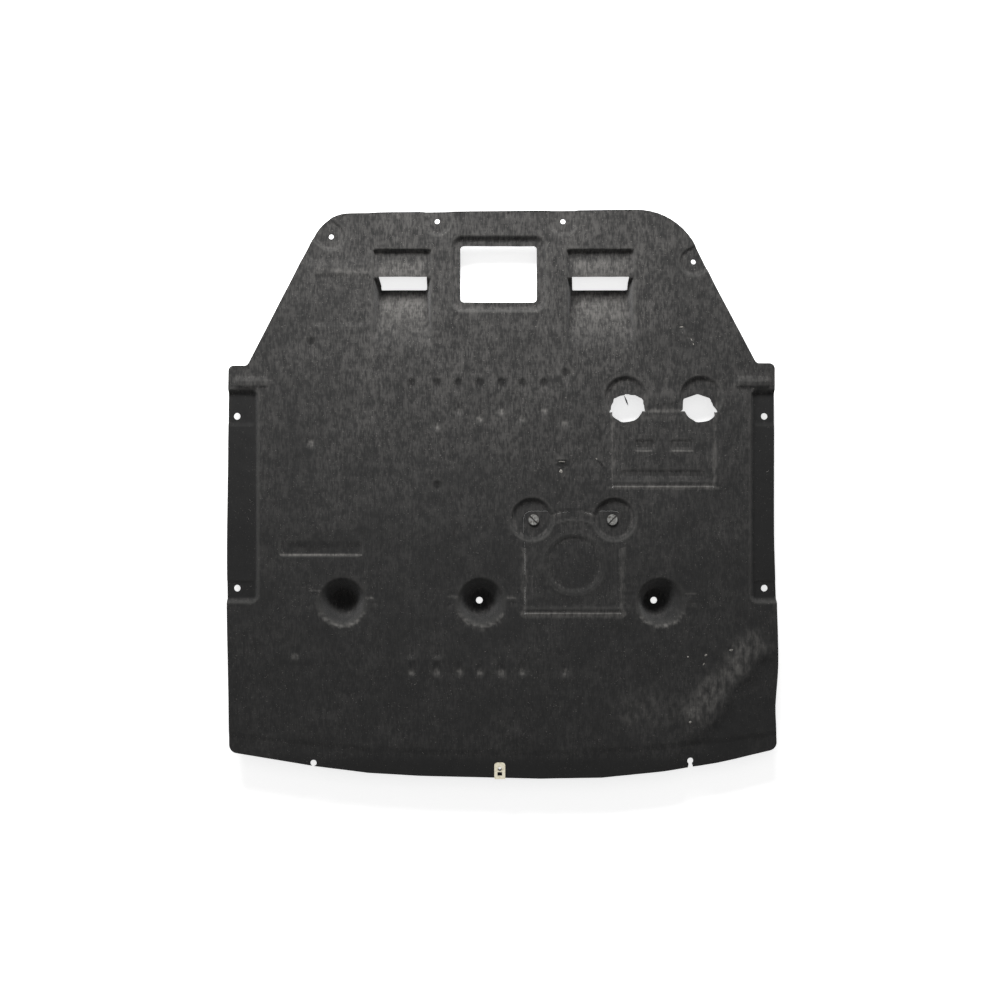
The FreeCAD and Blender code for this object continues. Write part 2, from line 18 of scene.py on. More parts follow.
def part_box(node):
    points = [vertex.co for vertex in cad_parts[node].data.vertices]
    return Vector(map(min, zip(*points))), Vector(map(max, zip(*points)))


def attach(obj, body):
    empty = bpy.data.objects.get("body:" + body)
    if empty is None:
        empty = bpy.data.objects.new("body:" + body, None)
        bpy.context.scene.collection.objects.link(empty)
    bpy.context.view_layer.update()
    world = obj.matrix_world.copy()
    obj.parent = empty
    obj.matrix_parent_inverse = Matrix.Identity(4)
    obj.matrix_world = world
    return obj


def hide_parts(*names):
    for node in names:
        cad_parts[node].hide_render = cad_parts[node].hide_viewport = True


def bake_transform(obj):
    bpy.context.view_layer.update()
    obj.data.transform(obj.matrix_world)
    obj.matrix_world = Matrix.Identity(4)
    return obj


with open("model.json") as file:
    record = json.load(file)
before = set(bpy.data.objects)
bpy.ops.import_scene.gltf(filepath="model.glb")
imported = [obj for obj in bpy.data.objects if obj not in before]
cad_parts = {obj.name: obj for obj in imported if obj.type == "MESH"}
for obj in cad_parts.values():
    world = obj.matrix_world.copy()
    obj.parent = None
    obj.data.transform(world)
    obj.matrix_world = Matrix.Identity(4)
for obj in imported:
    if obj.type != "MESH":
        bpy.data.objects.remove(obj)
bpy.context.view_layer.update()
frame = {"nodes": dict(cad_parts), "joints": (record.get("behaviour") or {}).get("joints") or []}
MM = 0.001
joints = {joint["name"]: np.array(joint["pos_m"]) / MM for joint in frame["joints"]}
DRAIN_X, DRAIN_HINGE, TOP = joints["drain_flap_fold"]

# %% [markdown]
# ## Shader maths
# A material is easier to read as a sum than as a list of links. One small class wraps a socket, so that
# plus, minus and times add Math nodes, and one method adds any other node with its settings first and its
# sockets after.


# %% A socket that can be used in sums
def fill(tree, socket, value):
    """Link a socket to another one, or set it to a plain value."""
    if isinstance(value, bpy.types.NodeSocket):
        tree.links.new(value, socket)
    else:
        socket.default_value = value


def add_node(tree, kind, settings=None, **sockets):
    """A node from its settings and its sockets: i3 is input 3, and From_Min is the input From Min."""
    node = tree.nodes.new(kind)
    for name, setting in (settings or {}).items():
        setattr(node, name, setting)
    for name, value in sockets.items():
        key = int(name[1:]) if name[1:].isdigit() else name.replace("_", " ")
        fill(tree, node.inputs[key], value)
    return node


class Value:
    def __init__(self, tree, socket):
        self.tree = tree
        self.socket = socket

    def add(self, kind, output=0, settings=None, **sockets):
        plain = {name: getattr(value, "socket", value) for name, value in sockets.items()}
        return Value(self.tree, add_node(self.tree, kind, settings, **plain).outputs[output])

    def put(self, socket, value):
        fill(self.tree, socket, getattr(value, "socket", value))

    def maths(self, operation, first, second):
        return self.add("ShaderNodeMath", settings={"operation": operation}, i0=first, i1=second)

    def __add__(self, other):
        return self.maths("ADD", self, other)

    def __sub__(self, other):
        return self.maths("SUBTRACT", self, other)

    def __rsub__(self, other):
        return self.maths("SUBTRACT", other, self)

    def __mul__(self, other):
        return self.maths("MULTIPLY", self, other)

    __radd__ = __add__
    __rmul__ = __mul__

    def mix(self, other, amount):
        """From this colour to another one by an amount from 0 to 1."""
        return self.add("ShaderNodeMix", output=2, settings={"data_type": "RGBA"}, Factor=amount,
                        i6=self, i7=other)

    def span(self, low, high):
        """0 below low, 1 above high and smooth between them."""
        return self.add("ShaderNodeMapRange", settings={"interpolation_type": "SMOOTHSTEP"}, Value=self,
                        From_Min=low, From_Max=high)


# %% Materials and noise
def new_material(name):
    """A material with its Principled shader, and a Value for Object coordinates."""
    material = bpy.data.materials.new(name)
    material.use_nodes = True
    tree = material.node_tree
    shader = tree.nodes["Principled BSDF"]
    place = Value(tree, tree.nodes.new("ShaderNodeTexCoord").outputs["Object"])
    return material, shader, place


def plain_colour(place, colour):
    """A colour that can be mixed."""
    made = place.add("ShaderNodeRGB")
    made.socket.default_value = colour
    return made


def noise(place, scale, detail, stretch=(1.0, 1.0, 1.0)):
    """Noise from 0 to 1 on a place, with features drawn out along the axes that a stretch above 1 names."""
    size = tuple(1.0 / part for part in stretch)
    spot = place.add("ShaderNodeMapping", Vector=place, Scale=size)
    return place.add("ShaderNodeTexNoise", Vector=spot, Scale=scale, Detail=detail)


# %% [markdown]
# ## The pressed sheet
# On the real shield a mould presses every form into one felt of fibre. The forms could be cut into a mesh
# one by one, but then each rim would need its own rounding. Here the sheet is one height for each place:
# each form is a distance to its outline, turned into a smooth step. Soft rims, waves and dents come out of
# the same sum, and the two flaps share it, so that their surfaces run on across the cuts.

# %% Places of the sheet, in millimetres
SHEET = 3.9
KERF = 0.8
DRAIN = (113.6, -191.5)
DRAIN_WIDTH, DRAIN_LENGTH, DRAIN_CUT = 154.0, 156.5, 105.0
FILTER = (258.0, 11.5)
FILTER_WIDTH, FILTER_LENGTH, FILTER_CUT = 163.0, 121.0, 122.0
FLAPS = [(DRAIN, DRAIN_WIDTH, DRAIN_LENGTH, DRAIN_CUT), (FILTER, FILTER_WIDTH, FILTER_LENGTH, FILTER_CUT)]
SHIFT = np.array([DRAIN_X - DRAIN[0], DRAIN_HINGE - DRAIN[1]])
print("shift of the sheet in the frame", SHIFT)


def in_metres(x, y, z):
    """Points in the frame from places on the sheet and heights over its flat top."""
    return np.column_stack([x + SHIFT[0], y + SHIFT[1], TOP + z]) * MM


# %% Steps and distances
def ease(part):
    part = np.clip(part, 0.0, 1.0)
    return part * part * (3.0 - 2.0 * part)


def to_box(x, y, middle, size, corner):
    """Distance to a rounded box, negative inside."""
    far_x = np.abs(x - middle[0]) - size[0] / 2 + corner
    far_y = np.abs(y - middle[1]) - size[1] / 2 + corner
    outside = np.hypot(np.maximum(far_x, 0), np.maximum(far_y, 0))
    return outside + np.minimum(np.maximum(far_x, far_y), 0) - corner


def to_round(x, y, middle, radius):
    return np.hypot(x - middle[0], y - middle[1]) - radius


def along_across(x, y, middle, angle):
    """Distances from a middle point along a direction and across it."""
    turn = math.radians(angle)
    along = (x - middle[0]) * math.cos(turn) + (y - middle[1]) * math.sin(turn)
    across = (y - middle[1]) * math.cos(turn) - (x - middle[0]) * math.sin(turn)
    return along, across


def sunk(distance, depth, slope):
    """Full depth inside an outline, easing to nothing across the slope."""
    return -depth * ease(0.5 - distance / slope)


def dent(x, y, middle, size, depth):
    return -depth * np.exp(-((x - middle[0]) / size[0]) ** 2 - ((y - middle[1]) / size[1]) ** 2)


def waves(x, y, length, seed):
    """A smooth uneven surface between about -1 and 1."""
    dice = np.random.default_rng(seed)
    count = 7
    turns = dice.uniform(0, math.pi, count)
    phases = dice.uniform(0, 2 * math.pi, count)
    stretches = dice.uniform(0.7, 1.6, count)
    total = np.zeros_like(x)
    for turn, phase, stretch in zip(turns, phases, stretches):
        along = x * math.cos(turn) + y * math.sin(turn)
        total += np.sin(2 * math.pi * along / (length * stretch) + phase)
    return total / math.sqrt(count)


# %% [markdown]
# ## The forms of the sheet
# Wells take the bolts, scoops lead air through their slots, and troughs and dimples stiffen the sheet. They
# could be sculpted one at a time, but they repeat, so each list holds only places and the sizes are shared.

# %% Wells and scoops
WELL_DEPTH = 42.0
WELL_Y = -172.8
WELLS = [(-256.3, 0.0), (-33.9, -3.2), (254.1, -7.2)]
WELL_RIM, WELL_FLOOR, WELL_FLARE = 42.0, 14.0, 1.3
SCOOPS = [(-206.7, -113.9), (103.7, 210.9)]
SCOOP_FRONT, RAMP_END, LIP_EDGE, SCOOP_REAR = 238.0, 331.7, 348.0, 391.0
SCOOP_WALL, WALL_START, RAMP_SOFTNESS = 13.0, 0.12, 0.01
LIP_DEPTH, LIP_FALL, LIP_RUN = 3.0, 6.0, 34.0
print("wells", len(WELLS), "scoops", len(SCOOPS), "deep", WELL_DEPTH)


def well_height(x, y, rim_x, offset):
    """A flared cone whose floor lies off the middle of its rim."""
    reach = WELL_RIM - WELL_FLOOR
    lean = offset * ease((WELL_RIM - np.hypot(x - rim_x, y - WELL_Y)) / reach)
    return -WELL_DEPTH * ease((WELL_RIM - np.hypot(x - rim_x - lean, y - WELL_Y)) / reach) ** WELL_FLARE


def scoop_height(x, y, left, right):
    """The ramp, the slot's side walls and the lip behind it."""
    wall = WELL_DEPTH * ease(np.minimum(x - left, right - x) / SCOOP_WALL + WALL_START)
    run = (y - SCOOP_FRONT) / (RAMP_END - SCOOP_FRONT)
    ramp = WELL_DEPTH * np.clip((np.sqrt(run * run + RAMP_SOFTNESS) + run) / 2, 0, 1)
    lip = LIP_DEPTH + LIP_FALL * ease((y - LIP_EDGE) / LIP_RUN)
    deep = ramp + (lip - ramp) * ease((y - RAMP_END) / (LIP_EDGE - RAMP_END))
    deep = deep * ease((SCOOP_REAR + 1.5 - y) / 4.0)
    near = (x > left - 3) & (x < right + 3) & (y < SCOOP_REAR + 4)
    return np.where(near, -np.minimum(deep, wall), 0.0)


# %% Rear end and sides
WINDOW, WINDOW_SIZE = (-5.9, 353.0), (123.0, 91.0)
WINDOW_RIM, WINDOW_DEPTH, WINDOW_SLOPE = 24.0, 9.0, 9.0
REAR_HOLES = [(-274.7, 413.4, 142.0), (-104.2, 437.0, 90.0), (97.6, 437.0, 90.0), (306.7, 372.2, 27.0)]
PAD_RADIUS, PAD_DEPTH, PAD_SLOPE = 21.0, 4.5, 7.0
FLANGES = [(-442.0, 98.0), (442.0, 84.0)]
FLANGE_REAR, FLANGE_FRONT = 165.0, -171.0
FLANGE_DEPTH, FLANGE_SLOPE = 7.0, 7.0
SEATS = [(137.0, 50.0), (-155.0, 30.0)]
SEAT_DEPTH, SEAT_SLOPE = 1.6, 4.0
LEDGE, LEDGE_SIZE, LEDGE_RISE = (401.0, 178.0), (52.0, 13.0), 4.0
PRESS_SLOPE = 8.0
print("rear holes", len(REAR_HOLES), "flanges", len(FLANGES))


def rear_forms(x, y):
    """The sunk frame of the window and the pads round the rear holes."""
    yield sunk(to_box(x, y, WINDOW, np.add(WINDOW_SIZE, WINDOW_RIM), 16), WINDOW_DEPTH, WINDOW_SLOPE)
    for hole_x, hole_y, angle in REAR_HOLES:
        along, across = along_across(x, y, (hole_x, hole_y), angle)
        yield sunk(np.hypot(np.minimum(along, 0), across) - PAD_RADIUS, PAD_DEPTH, PAD_SLOPE)


def side_forms(x, y):
    """The flanges, the seats in them and the ledges behind them."""
    middle = (FLANGE_REAR + FLANGE_FRONT) / 2
    for edge_x, width in FLANGES:
        flange = to_box(x, y, (edge_x, middle), (width, FLANGE_REAR - FLANGE_FRONT), 9)
        yield sunk(flange, FLANGE_DEPTH, FLANGE_SLOPE)
        for seat_y, length in SEATS:
            yield sunk(to_box(x, y, (edge_x, seat_y), (width - 8, length), 5), SEAT_DEPTH, SEAT_SLOPE)
        ledge = to_box(x, y, (math.copysign(LEDGE[0], edge_x), LEDGE[1]), LEDGE_SIZE, 4)
        yield LEDGE_RISE * ease(0.5 - ledge / PRESS_SLOPE)


# %% Troughs and dimples
TROUGHS = [(-104.3, 184, 104), (-70.0, 184, 128), (-35.7, 184, 116), (-1.4, 184, 128), (32.9, 184, 116),
           (67.2, 184, 128), (101.5, 200, 108), (-104.3, 20, -262), (-144.3, 184, -262), (-306.0, 250, 76)]
FAINT_TROUGHS = [(-152.0, 118, -262), (-97.0, 20, -262), (331.0, -12, -240), (-331.0, 60, -262)]
TROUGH_WIDTH, TROUGH_DEPTH, FAINT_DEPTH = 13.0, 2.6, 0.7
TROUGH_MIDDLE, TROUGH_END = 0.38, 0.62
DIMPLES = [-144.3, -104.3, -69.1, -36.0, -1.0, 31.7, 101.3]
DIMPLE_Y, DIMPLE_SIZE = -276.0, (11.0, 28.0)
SIDE_TROUGH, SIDE_TROUGH_SIZE = (-290.0, -86.0), (131.0, 24.0)
print("troughs", len(TROUGHS) + len(FAINT_TROUGHS), "dimples", len(DIMPLES))


def trough_forms(x, y):
    """Troughs that are deepest at their ends, and dimples and a side trough that are deepest at the front."""
    for depth, troughs in ((TROUGH_DEPTH, TROUGHS), (FAINT_DEPTH, FAINT_TROUGHS)):
        for line_x, rear, front in troughs:
            ends = np.minimum(np.abs(y - rear), np.abs(y - front))
            trough = to_box(x, y, (line_x, (rear + front) / 2), (TROUGH_WIDTH, rear - front), 6)
            share = TROUGH_MIDDLE + TROUGH_END * ease((26.0 - ends) / 22.0)
            yield sunk(trough, depth, PRESS_SLOPE) * share
    for line_x in DIMPLES:
        dimple = to_box(x, y, (line_x, DIMPLE_Y), DIMPLE_SIZE, 5)
        yield sunk(dimple, TROUGH_DEPTH, PRESS_SLOPE) * ease((-262.0 - y) / 22.0)
    side_trough = to_box(x, y, SIDE_TROUGH, SIDE_TROUGH_SIZE, 6)
    yield sunk(side_trough, TROUGH_DEPTH, 3.0) * ease((-72.0 - y) / 16.0)


# %% Recesses, pockets and the sum of the forms
PLATE, PLATE_SIZE, PLATE_DEPTH = (-256.0, 311.0), (92.0, 80.0), 2.4
CORNER, CORNER_SIZE, CORNER_DEPTH = (-265.0, 420.0), (115.0, 100.0), 4.5
FRONT_STEP, FRONT_BOW, FRONT_DEPTH = 414.0, 0.00016, 1.8
DRAIN_POCKETS = [(DRAIN[0] + side, -40.5) for side in (-66.0, 66.0)]
FILTER_POCKETS = [(FILTER[0] + side, 154.5) for side in (-60.0, 60.0)]
FLAP_POCKETS = DRAIN_POCKETS + FILTER_POCKETS
POCKET_RADIUS, POCKET_DEPTH, POCKET_SLOPE = 32.0, 7.0, 8.5
print("flap pockets", FLAP_POCKETS)


def flat_forms(x, y):
    """The plate and the corner at the rear left, the front edge and the pockets of the flaps' ears."""
    yield sunk(to_box(x, y, PLATE, PLATE_SIZE, 8), PLATE_DEPTH, PRESS_SLOPE)
    yield sunk(to_box(x, y, CORNER, CORNER_SIZE, 16), CORNER_DEPTH, 20.0)
    yield sunk(y + FRONT_STEP - FRONT_BOW * x * x, FRONT_DEPTH, 14.0)
    for pocket in FLAP_POCKETS:
        yield sunk(to_round(x, y, pocket, POCKET_RADIUS), POCKET_DEPTH, POCKET_SLOPE)


def forms(x, y):
    """Height of the pressed forms over the flat sheet."""
    z = np.zeros_like(x)
    for rim_x, offset in WELLS:
        z = np.minimum(z, well_height(x, y, rim_x, offset))
    for left, right in SCOOPS:
        z = np.minimum(z, scoop_height(x, y, left, right))
    for group in (rear_forms, side_forms, trough_forms, flat_forms):
        for form in group(x, y):
            z += form
    return z


# %% [markdown]
# ## Flaps, wear and damage
# The flaps carry their own small reliefs and a bead along each fold. The sheet has been on the road: it is
# dented, its corner is creased and gouges have lifted its surface. A bump in the material could show the
# dents, but it casts no shadow, so they are part of the height. The waves are calm at the folds, the
# pockets and the clip, where pieces pass close to each other.

# %% Reliefs of the flaps
RING, RING_RADIUS = (DRAIN[0] + 2.0, DRAIN[1] + 79.0), 43.0
ARC, ARC_RADIUS = (DRAIN[0] + 2.0, DRAIN[1] + 83.0), 67.0
FLAP_TROUGH, FLAP_TROUGH_SIZE = (FILTER[0], FILTER[1] + 20.0), (132.0, 12.0)
SLOTS, SLOT_SIZE = [(FILTER[0] + side, FILTER[1] + 67.0) for side in (-29.0, 29.0)], (32.0, 15.0)
TONGUE, TONGUE_SIZE = (FILTER[0] + 1.0, FILTER[1] + 150.0), (50.0, 34.0)
RELIEF_DEPTH, RELIEF_SLOPE = 2.4, 5.0
BEAD_RISE, BEAD_PLACE, BEAD_WIDTH = 1.3, 8.0, 2.6


def flap_reliefs(x, y):
    """The drain flap's ring and arc, the filter flap's slots and tongue, and the beads and frames of both."""
    ring = to_round(x, y, RING, RING_RADIUS)
    z = sunk(ring, RELIEF_DEPTH, 6.0) + 0.8 * np.exp(-((ring - 7.0) / 3.0) ** 2)
    z += sunk(to_box(x, y, FLAP_TROUGH, FLAP_TROUGH_SIZE, 4), 2.2, RELIEF_SLOPE)
    for slot in SLOTS:
        z += sunk(to_box(x, y, slot, SLOT_SIZE, 4), RELIEF_DEPTH, RELIEF_SLOPE)
    for middle, width, length, _ in FLAPS:
        across = ease((width / 2 + 2 - np.abs(x - middle[0])) / 3.0)
        z += across * BEAD_RISE * np.exp(-((y - middle[1] - BEAD_PLACE) / BEAD_WIDTH) ** 2)
        frame_line = to_box(x, y, (middle[0], middle[1] + length / 2), (width - 24, length - 22), 5)
        front_fade = ease((y - middle[1] - 20) / 20)
        rear_fade = ease((middle[1] + length - 20 - y) / 10)
        z += across * sunk(np.abs(frame_line) - 1.6, 0.8, 3.0) * front_fade * rear_fade
    arc = to_round(x, y, ARC, ARC_RADIUS)
    arc_end = ease((y - DRAIN[1] - 130.0) / 8.0)
    arc_side = ease((36.0 - np.abs(x - DRAIN[0])) / 8.0)
    z += 1.1 * np.exp(-(arc / 2.0) ** 2) * arc_end * arc_side
    tongue = to_box(x, y, TONGUE, TONGUE_SIZE, 15)
    z += 1.5 * ease(0.5 - tongue / 6.0) * ease((FILTER[1] + 160.0 - y) / 14.0)
    return z


# %% Wear and the whole height
CLIP = (-3.8, -440.0)
CREASE_START, CREASE_ALONG = (316.5, -377.6), (0.644, 0.765)
CREASE_DROP, CREASE_RISE = 5.0, 1.0
CALM_DROP = 0.3
DENTS = [((95.0, 49.0), (8.0, 4.0), 2.4), ((94.0, 56.0), (9.0, 2.6), -1.8), ((159.0, 49.0), (6.0, 2.5), 1.8),
         ((288.0, 265.0), (5.0, 5.0), 2.2), ((274.0, 266.0), (13.0, 8.0), 1.6),
         ((300.0, 250.0), (7.0, 3.0), 1.4), ((366.0, -250.0), (7.0, 4.0), 1.2),
         ((323.0, -272.0), (5.0, 3.0), 1.0)]
RIM_DENTS = [(-46.0, 12.0), (46.0, 10.0), (-50.0, -6.0), (52.0, -3.0)]
SMALL_DENTS = 90
print("dents", len(DENTS) + len(RIM_DENTS) * len(WELLS) + SMALL_DENTS)


def crease(x, y):
    """Distance across the crease of the front right corner, negative on its scraped side."""
    from_x, from_y = x - CREASE_START[0], y - CREASE_START[1]
    return from_x * CREASE_ALONG[1] - from_y * CREASE_ALONG[0] + 4.0 * waves(x, y, 60.0, 6)


def calm_places(x, y):
    """0 at the pockets, the clip and the folds, and 1 away from them."""
    calm = np.ones_like(x)
    for spot in FLAP_POCKETS + [CLIP]:
        calm *= ease(to_round(x, y, spot, 38.0) / 30.0)
    for middle, width, _, _ in FLAPS:
        calm *= ease(to_box(x, y, middle, (width + 8.0, 6.0), 2) / 25.0)
    return calm


def wear(x, y):
    """Waves of a used sheet, its creased corner and its dents."""
    calm = calm_places(x, y)
    uneven = 0.9 * waves(x, y, 260.0, 3) + 0.4 * waves(x, y, 70.0, 4) + 0.16 * waves(x, y, 24.0, 5)
    z = -CALM_DROP * (1.0 - calm) + calm * uneven
    fold = crease(x, y)
    near = ease((fold + 14.0) / 40.0) * ease((x - 250.0) / 60.0) * ease((-150.0 - y) / 60.0)
    ridge = CREASE_RISE * np.exp(-(fold / 9.0) ** 2) * ease((x - 290.0) / 60.0) * ease((-190.0 - y) / 60.0)
    z += -CREASE_DROP * near + ridge
    for middle, size, depth in DENTS:
        z += dent(x, y, middle, size, depth)
    for rim_x, _ in WELLS:
        for side, up in RIM_DENTS:
            z += dent(x, y, (rim_x + side, WELL_Y + up), (7.0, 3.0), 1.1)
    dice = np.random.default_rng(11)
    for _ in range(SMALL_DENTS):
        spot = dice.uniform(-430, 430, 2)
        size = dice.uniform(4, 11, 2)
        z += calm * dent(x, y, spot, size, dice.uniform(-0.35, 0.6))
    return z


def height(x, y):
    """Height of the upper surface over the flat sheet, nowhere below the floors that the shield lies on."""
    return np.maximum(forms(x, y) + flap_reliefs(x, y) + wear(x, y), SHEET - TOP)


# %% [markdown]
# ## Outlines
# Edges and holes are closed lines. They could be Blender curves, but the sheet's mesh needs their points,
# so a corner is a point with a radius that becomes an arc. A torn edge gets a seeded wobble so that it
# doesn't read as cut.


# %% Closed lines
def rounded(corners, turn_step=0.12):
    """Points round a closed outline whose corners (x, y, radius) are tangent arcs."""
    points = []
    count = len(corners)
    for index, (x, y, radius) in enumerate(corners):
        corner = np.array([x, y], float)
        before = np.array(corners[index - 1][:2]) - corner
        after = np.array(corners[(index + 1) % count][:2]) - corner
        before /= np.linalg.norm(before)
        after /= np.linalg.norm(after)
        if radius == 0:
            points.append(corner)
            continue
        half = math.acos(np.clip(before @ after, -1, 1)) / 2
        inward = (before + after) / np.linalg.norm(before + after)
        centre = corner + inward * radius / math.sin(half)
        first = before * radius / math.tan(half) + corner - centre
        last = after * radius / math.tan(half) + corner - centre
        sweep = math.atan2(first[0] * last[1] - first[1] * last[0], first @ last)
        steps = max(2, int(abs(sweep) / turn_step) + 1)
        for angle in np.linspace(0, sweep, steps + 1):
            spin = np.array([[math.cos(angle), -math.sin(angle)], [math.sin(angle), math.cos(angle)]])
            points.append(centre + spin @ first)
    return np.array(points)


def spaced(points, step=3.0):
    """The same closed line with no gap much longer than a step."""
    out = []
    for start, end in zip(points, np.roll(points, -1, axis=0)):
        pieces = max(1, int(np.linalg.norm(end - start) / step))
        out.extend(start + (end - start) * part / pieces for part in range(pieces))
    return np.array(out)


def torn(points, amount, seed):
    dice = np.random.default_rng(seed)
    return points + dice.normal(0, amount, points.shape)


def circle(x, y, radius):
    turns = np.linspace(0, 2 * math.pi, 40, endpoint=False)
    return np.column_stack([x + radius * np.cos(turns), y + radius * np.sin(turns)])


def mirrored(half_corners, middle):
    """A left-right outline from the corners of its right half, about a middle point."""
    corners = half_corners + [(-x, y, radius) for x, y, radius in reversed(half_corners) if x != 0]
    return [(x + middle[0], y + middle[1], radius) for x, y, radius in corners]


# %% The edge of the sheet and its holes
SQUARE = [(-1, -1), (1, -1), (1, 1), (-1, 1)]
OUTLINE = [(-283.5, 450, 65), (-343.2, 331.7, 700), (-408, 205.5, 8), (-438, 205.5, 9), (-442, -98, 1500),
           (-437, -413, 14), (-215, -449.5, 1200), (160, -458.3, 1200), (345, -432, 600), (441, -409, 14),
           (438, -340, 220), (443, -275, 220), (436.5, -85, 1500), (436.5, 209.5, 9), (407, 209.5, 8),
           (342.2, 331.7, 700), (280.5, 456, 108)]
WELL_HOLE, REAR_HOLE, SIDE_HOLE, FRONT_HOLE = 5.5, 4.0, 5.4, 5.0
SIDE_HOLES = [(-425.6, 124.8), (-425.6, -151.2), (421.0, 124.8), (421.0, -151.2)]
FRONT_HOLES = [(-302, -430.5), CLIP, (302, -428.0)]
RIGHT_TEAR = [(299, -428), (299, -435), (294, -452), (310, -452), (305.5, -435), (305, -428)]
LEFT_NOTCH = [(-310.5, -470), (-293.5, -470), (-294.5, -441.2), (-309.5, -441.5)]
outline = spaced(rounded(OUTLINE))
window_corners = [(WINDOW[0] + sx * WINDOW_SIZE[0] / 2, WINDOW[1] + sy * WINDOW_SIZE[1] / 2, 6)
                  for sx, sy in SQUARE]
holes = [spaced(rounded(window_corners))]
holes += [circle(x + offset, WELL_Y, WELL_HOLE) for x, offset in WELLS[1:]]
holes += [circle(x, y, REAR_HOLE) for x, y, _ in REAR_HOLES]
holes += [circle(x, y, SIDE_HOLE) for x, y in SIDE_HOLES]
holes += [circle(x, y, FRONT_HOLE) for x, y in FRONT_HOLES]
holes.append(torn(spaced(np.array(RIGHT_TEAR), 2.0), 0.35, 21))
holes.append(np.array(LEFT_NOTCH))
for left, right in SCOOPS:
    slot = [(left + 8, LIP_EDGE), (left + 11, RAMP_END), (right - 8, RAMP_END), (right - 7, LIP_EDGE)]
    holes.append(spaced(np.array(slot)))
print("outline", len(outline), "holes", len(holes))

# %% The cuts of the flaps
SLIT = 0.12
LEFT_GAP = [(172.5, 131), (175, 141), (180, 153.5), (190, 158), (200, 160), (213, 158), (226, 152.5),
            (228, 136), (228, 131)]
RIGHT_GAP = [(291, 131), (291.5, 146), (302, 153.5), (313, 158), (325, 156), (334, 152), (341, 140),
             (344.5, 131)]
STUD_SIDE, STUD_PLACE, STUD_HOLE = 63.0, 150.0, 4.3
TEAR_SIDE, TEAR_PLACE, TEAR_RADIUS = 60.0, 132.0, 28.3
FLAP_TOP = FILTER[1] + FILTER_LENGTH


def drain_corners(grow, hinge_gap):
    half, ear_out, ear_top, ear_in = DRAIN_WIDTH / 2 + grow, 79 + grow, 164 + grow, 41 - grow
    return mirrored([(half, -hinge_gap, 0), (half, DRAIN_CUT, 4), (ear_out, 125, 4), (ear_out, ear_top, 13),
                     (ear_in, ear_top, 3), (ear_in - 4, DRAIN_LENGTH + grow, 3), (0, 168 + grow, 100)], DRAIN)


def filter_corners(grow, hinge_gap):
    half, ear_top, ear_in = FILTER_WIDTH / 2 + grow, 146 + grow, 33 - grow
    return mirrored([(half, -hinge_gap, 0), (half, FILTER_CUT, 3), (half - 5, ear_top - 4, 6),
                     (56, ear_top + 3, 6), (ear_in, ear_top - 5, 4),
                     (ear_in - 2, FILTER_LENGTH + grow, 4)], FILTER)


gap_left = torn(spaced(np.array(LEFT_GAP), 2.5), 0.4, 22)
gap_right = torn(spaced(np.array(RIGHT_GAP), 2.5), 0.4, 23)
drain_gap = spaced(rounded(drain_corners(SLIT, KERF)))
filter_gap = spaced(rounded(filter_corners(SLIT, KERF)))
drain_edge = spaced(rounded(drain_corners(0, 0)))
filter_edge = spaced(rounded(filter_corners(0, 0)))
stud_holes = [circle(DRAIN[0] + side * STUD_SIDE, DRAIN[1] + STUD_PLACE, STUD_HOLE) for side in (-1, 1)]
tear_discs = [circle(FILTER[0] + side * TEAR_SIDE, FILTER[1] + TEAR_PLACE, TEAR_RADIUS) for side in (-1, 1)]
filter_tears = [torn(disc, 0.45, 40) for disc in tear_discs]
filter_tears.append(np.array([(FILTER[0] - 130, FLAP_TOP), (FILTER[0] + 130, FLAP_TOP),
                              (FILTER[0] + 130, FLAP_TOP + 60), (FILTER[0] - 130, FLAP_TOP + 60)]))
print("points of the cuts", len(drain_gap), len(filter_gap), len(gap_left), len(gap_right))

# %% [markdown]
# ## Marks of use
# Use changes the colour of the sheet as well as its shape: dust lies in the hollows and the nap is scraped
# pale on lines. Painted highlights lighten the front sides of the well rims, the scoops, the plate's rear
# edge and the front ends of the troughs, and painted shade darkens the troughs' rear ends. The marks could
# be painted, but then they wouldn't follow the forms. They are worked out from the same distances, and the
# mesh carries each one as an attribute for the material.

# %% Scraped lines, gouges and painted highlights
LINE_WIDTH = 1.6
LINES = [((SIDE_TROUGH[0], -97.6), 130.0, 0.4), ((FILTER[0], FLAP_TOP), 66.0, 0.25),
         ((FILTER[0], FLAP_TOP - 9.6), 74.0, 0.2), ((227.0, 68.8), 26.0, 0.3), ((289.0, 68.8), 36.0, 0.3)]
WELL_CREASES = [(302.0, -160.0), (16.0, -166.0), (-80.0, -165.0), (-211.0, -166.0), (-298.0, -155.0)]
LINES += [(spot, 17.0, 0.22) for spot in WELL_CREASES]
# Front ends of the troughs and dimples, which get a painted highlight.
LIT_TROUGH_ENDS = [(line_x, front + 5.0) for line_x, _, front in TROUGHS if front > 0]
LIT_TROUGH_ENDS += [(line_x, -285.0) for line_x in DIMPLES] + [(-331.5, -260.0)]
# A band along the plate's rear edge that gets a painted highlight.
PLATE_HIGHLIGHT, PLATE_HIGHLIGHT_SIZE = (-255.0, 357.0), (92.0, 9.0)
GOUGES = [((95.7, 47.2), 9.5, 3.0, 0.0), ((158.5, 47.6), 7.5, 1.8, -45.0), ((95.0, 42.0), 5.0, 1.4, 10.0)]
print("scraped lines", len(LINES), "scraped ends", len(LIT_TROUGH_ENDS), "gouges", len(GOUGES))


def flap_arc(x, y):
    """Distance to the curved cut at the rear end of the drain flap."""
    rear_end = (np.abs(x - DRAIN[0]) < 35.0) & (y > DRAIN[1] + 150.0)
    return np.where(rear_end, to_round(x, y, (DRAIN[0], DRAIN[1] + 92.0), 73.0), 99.0)


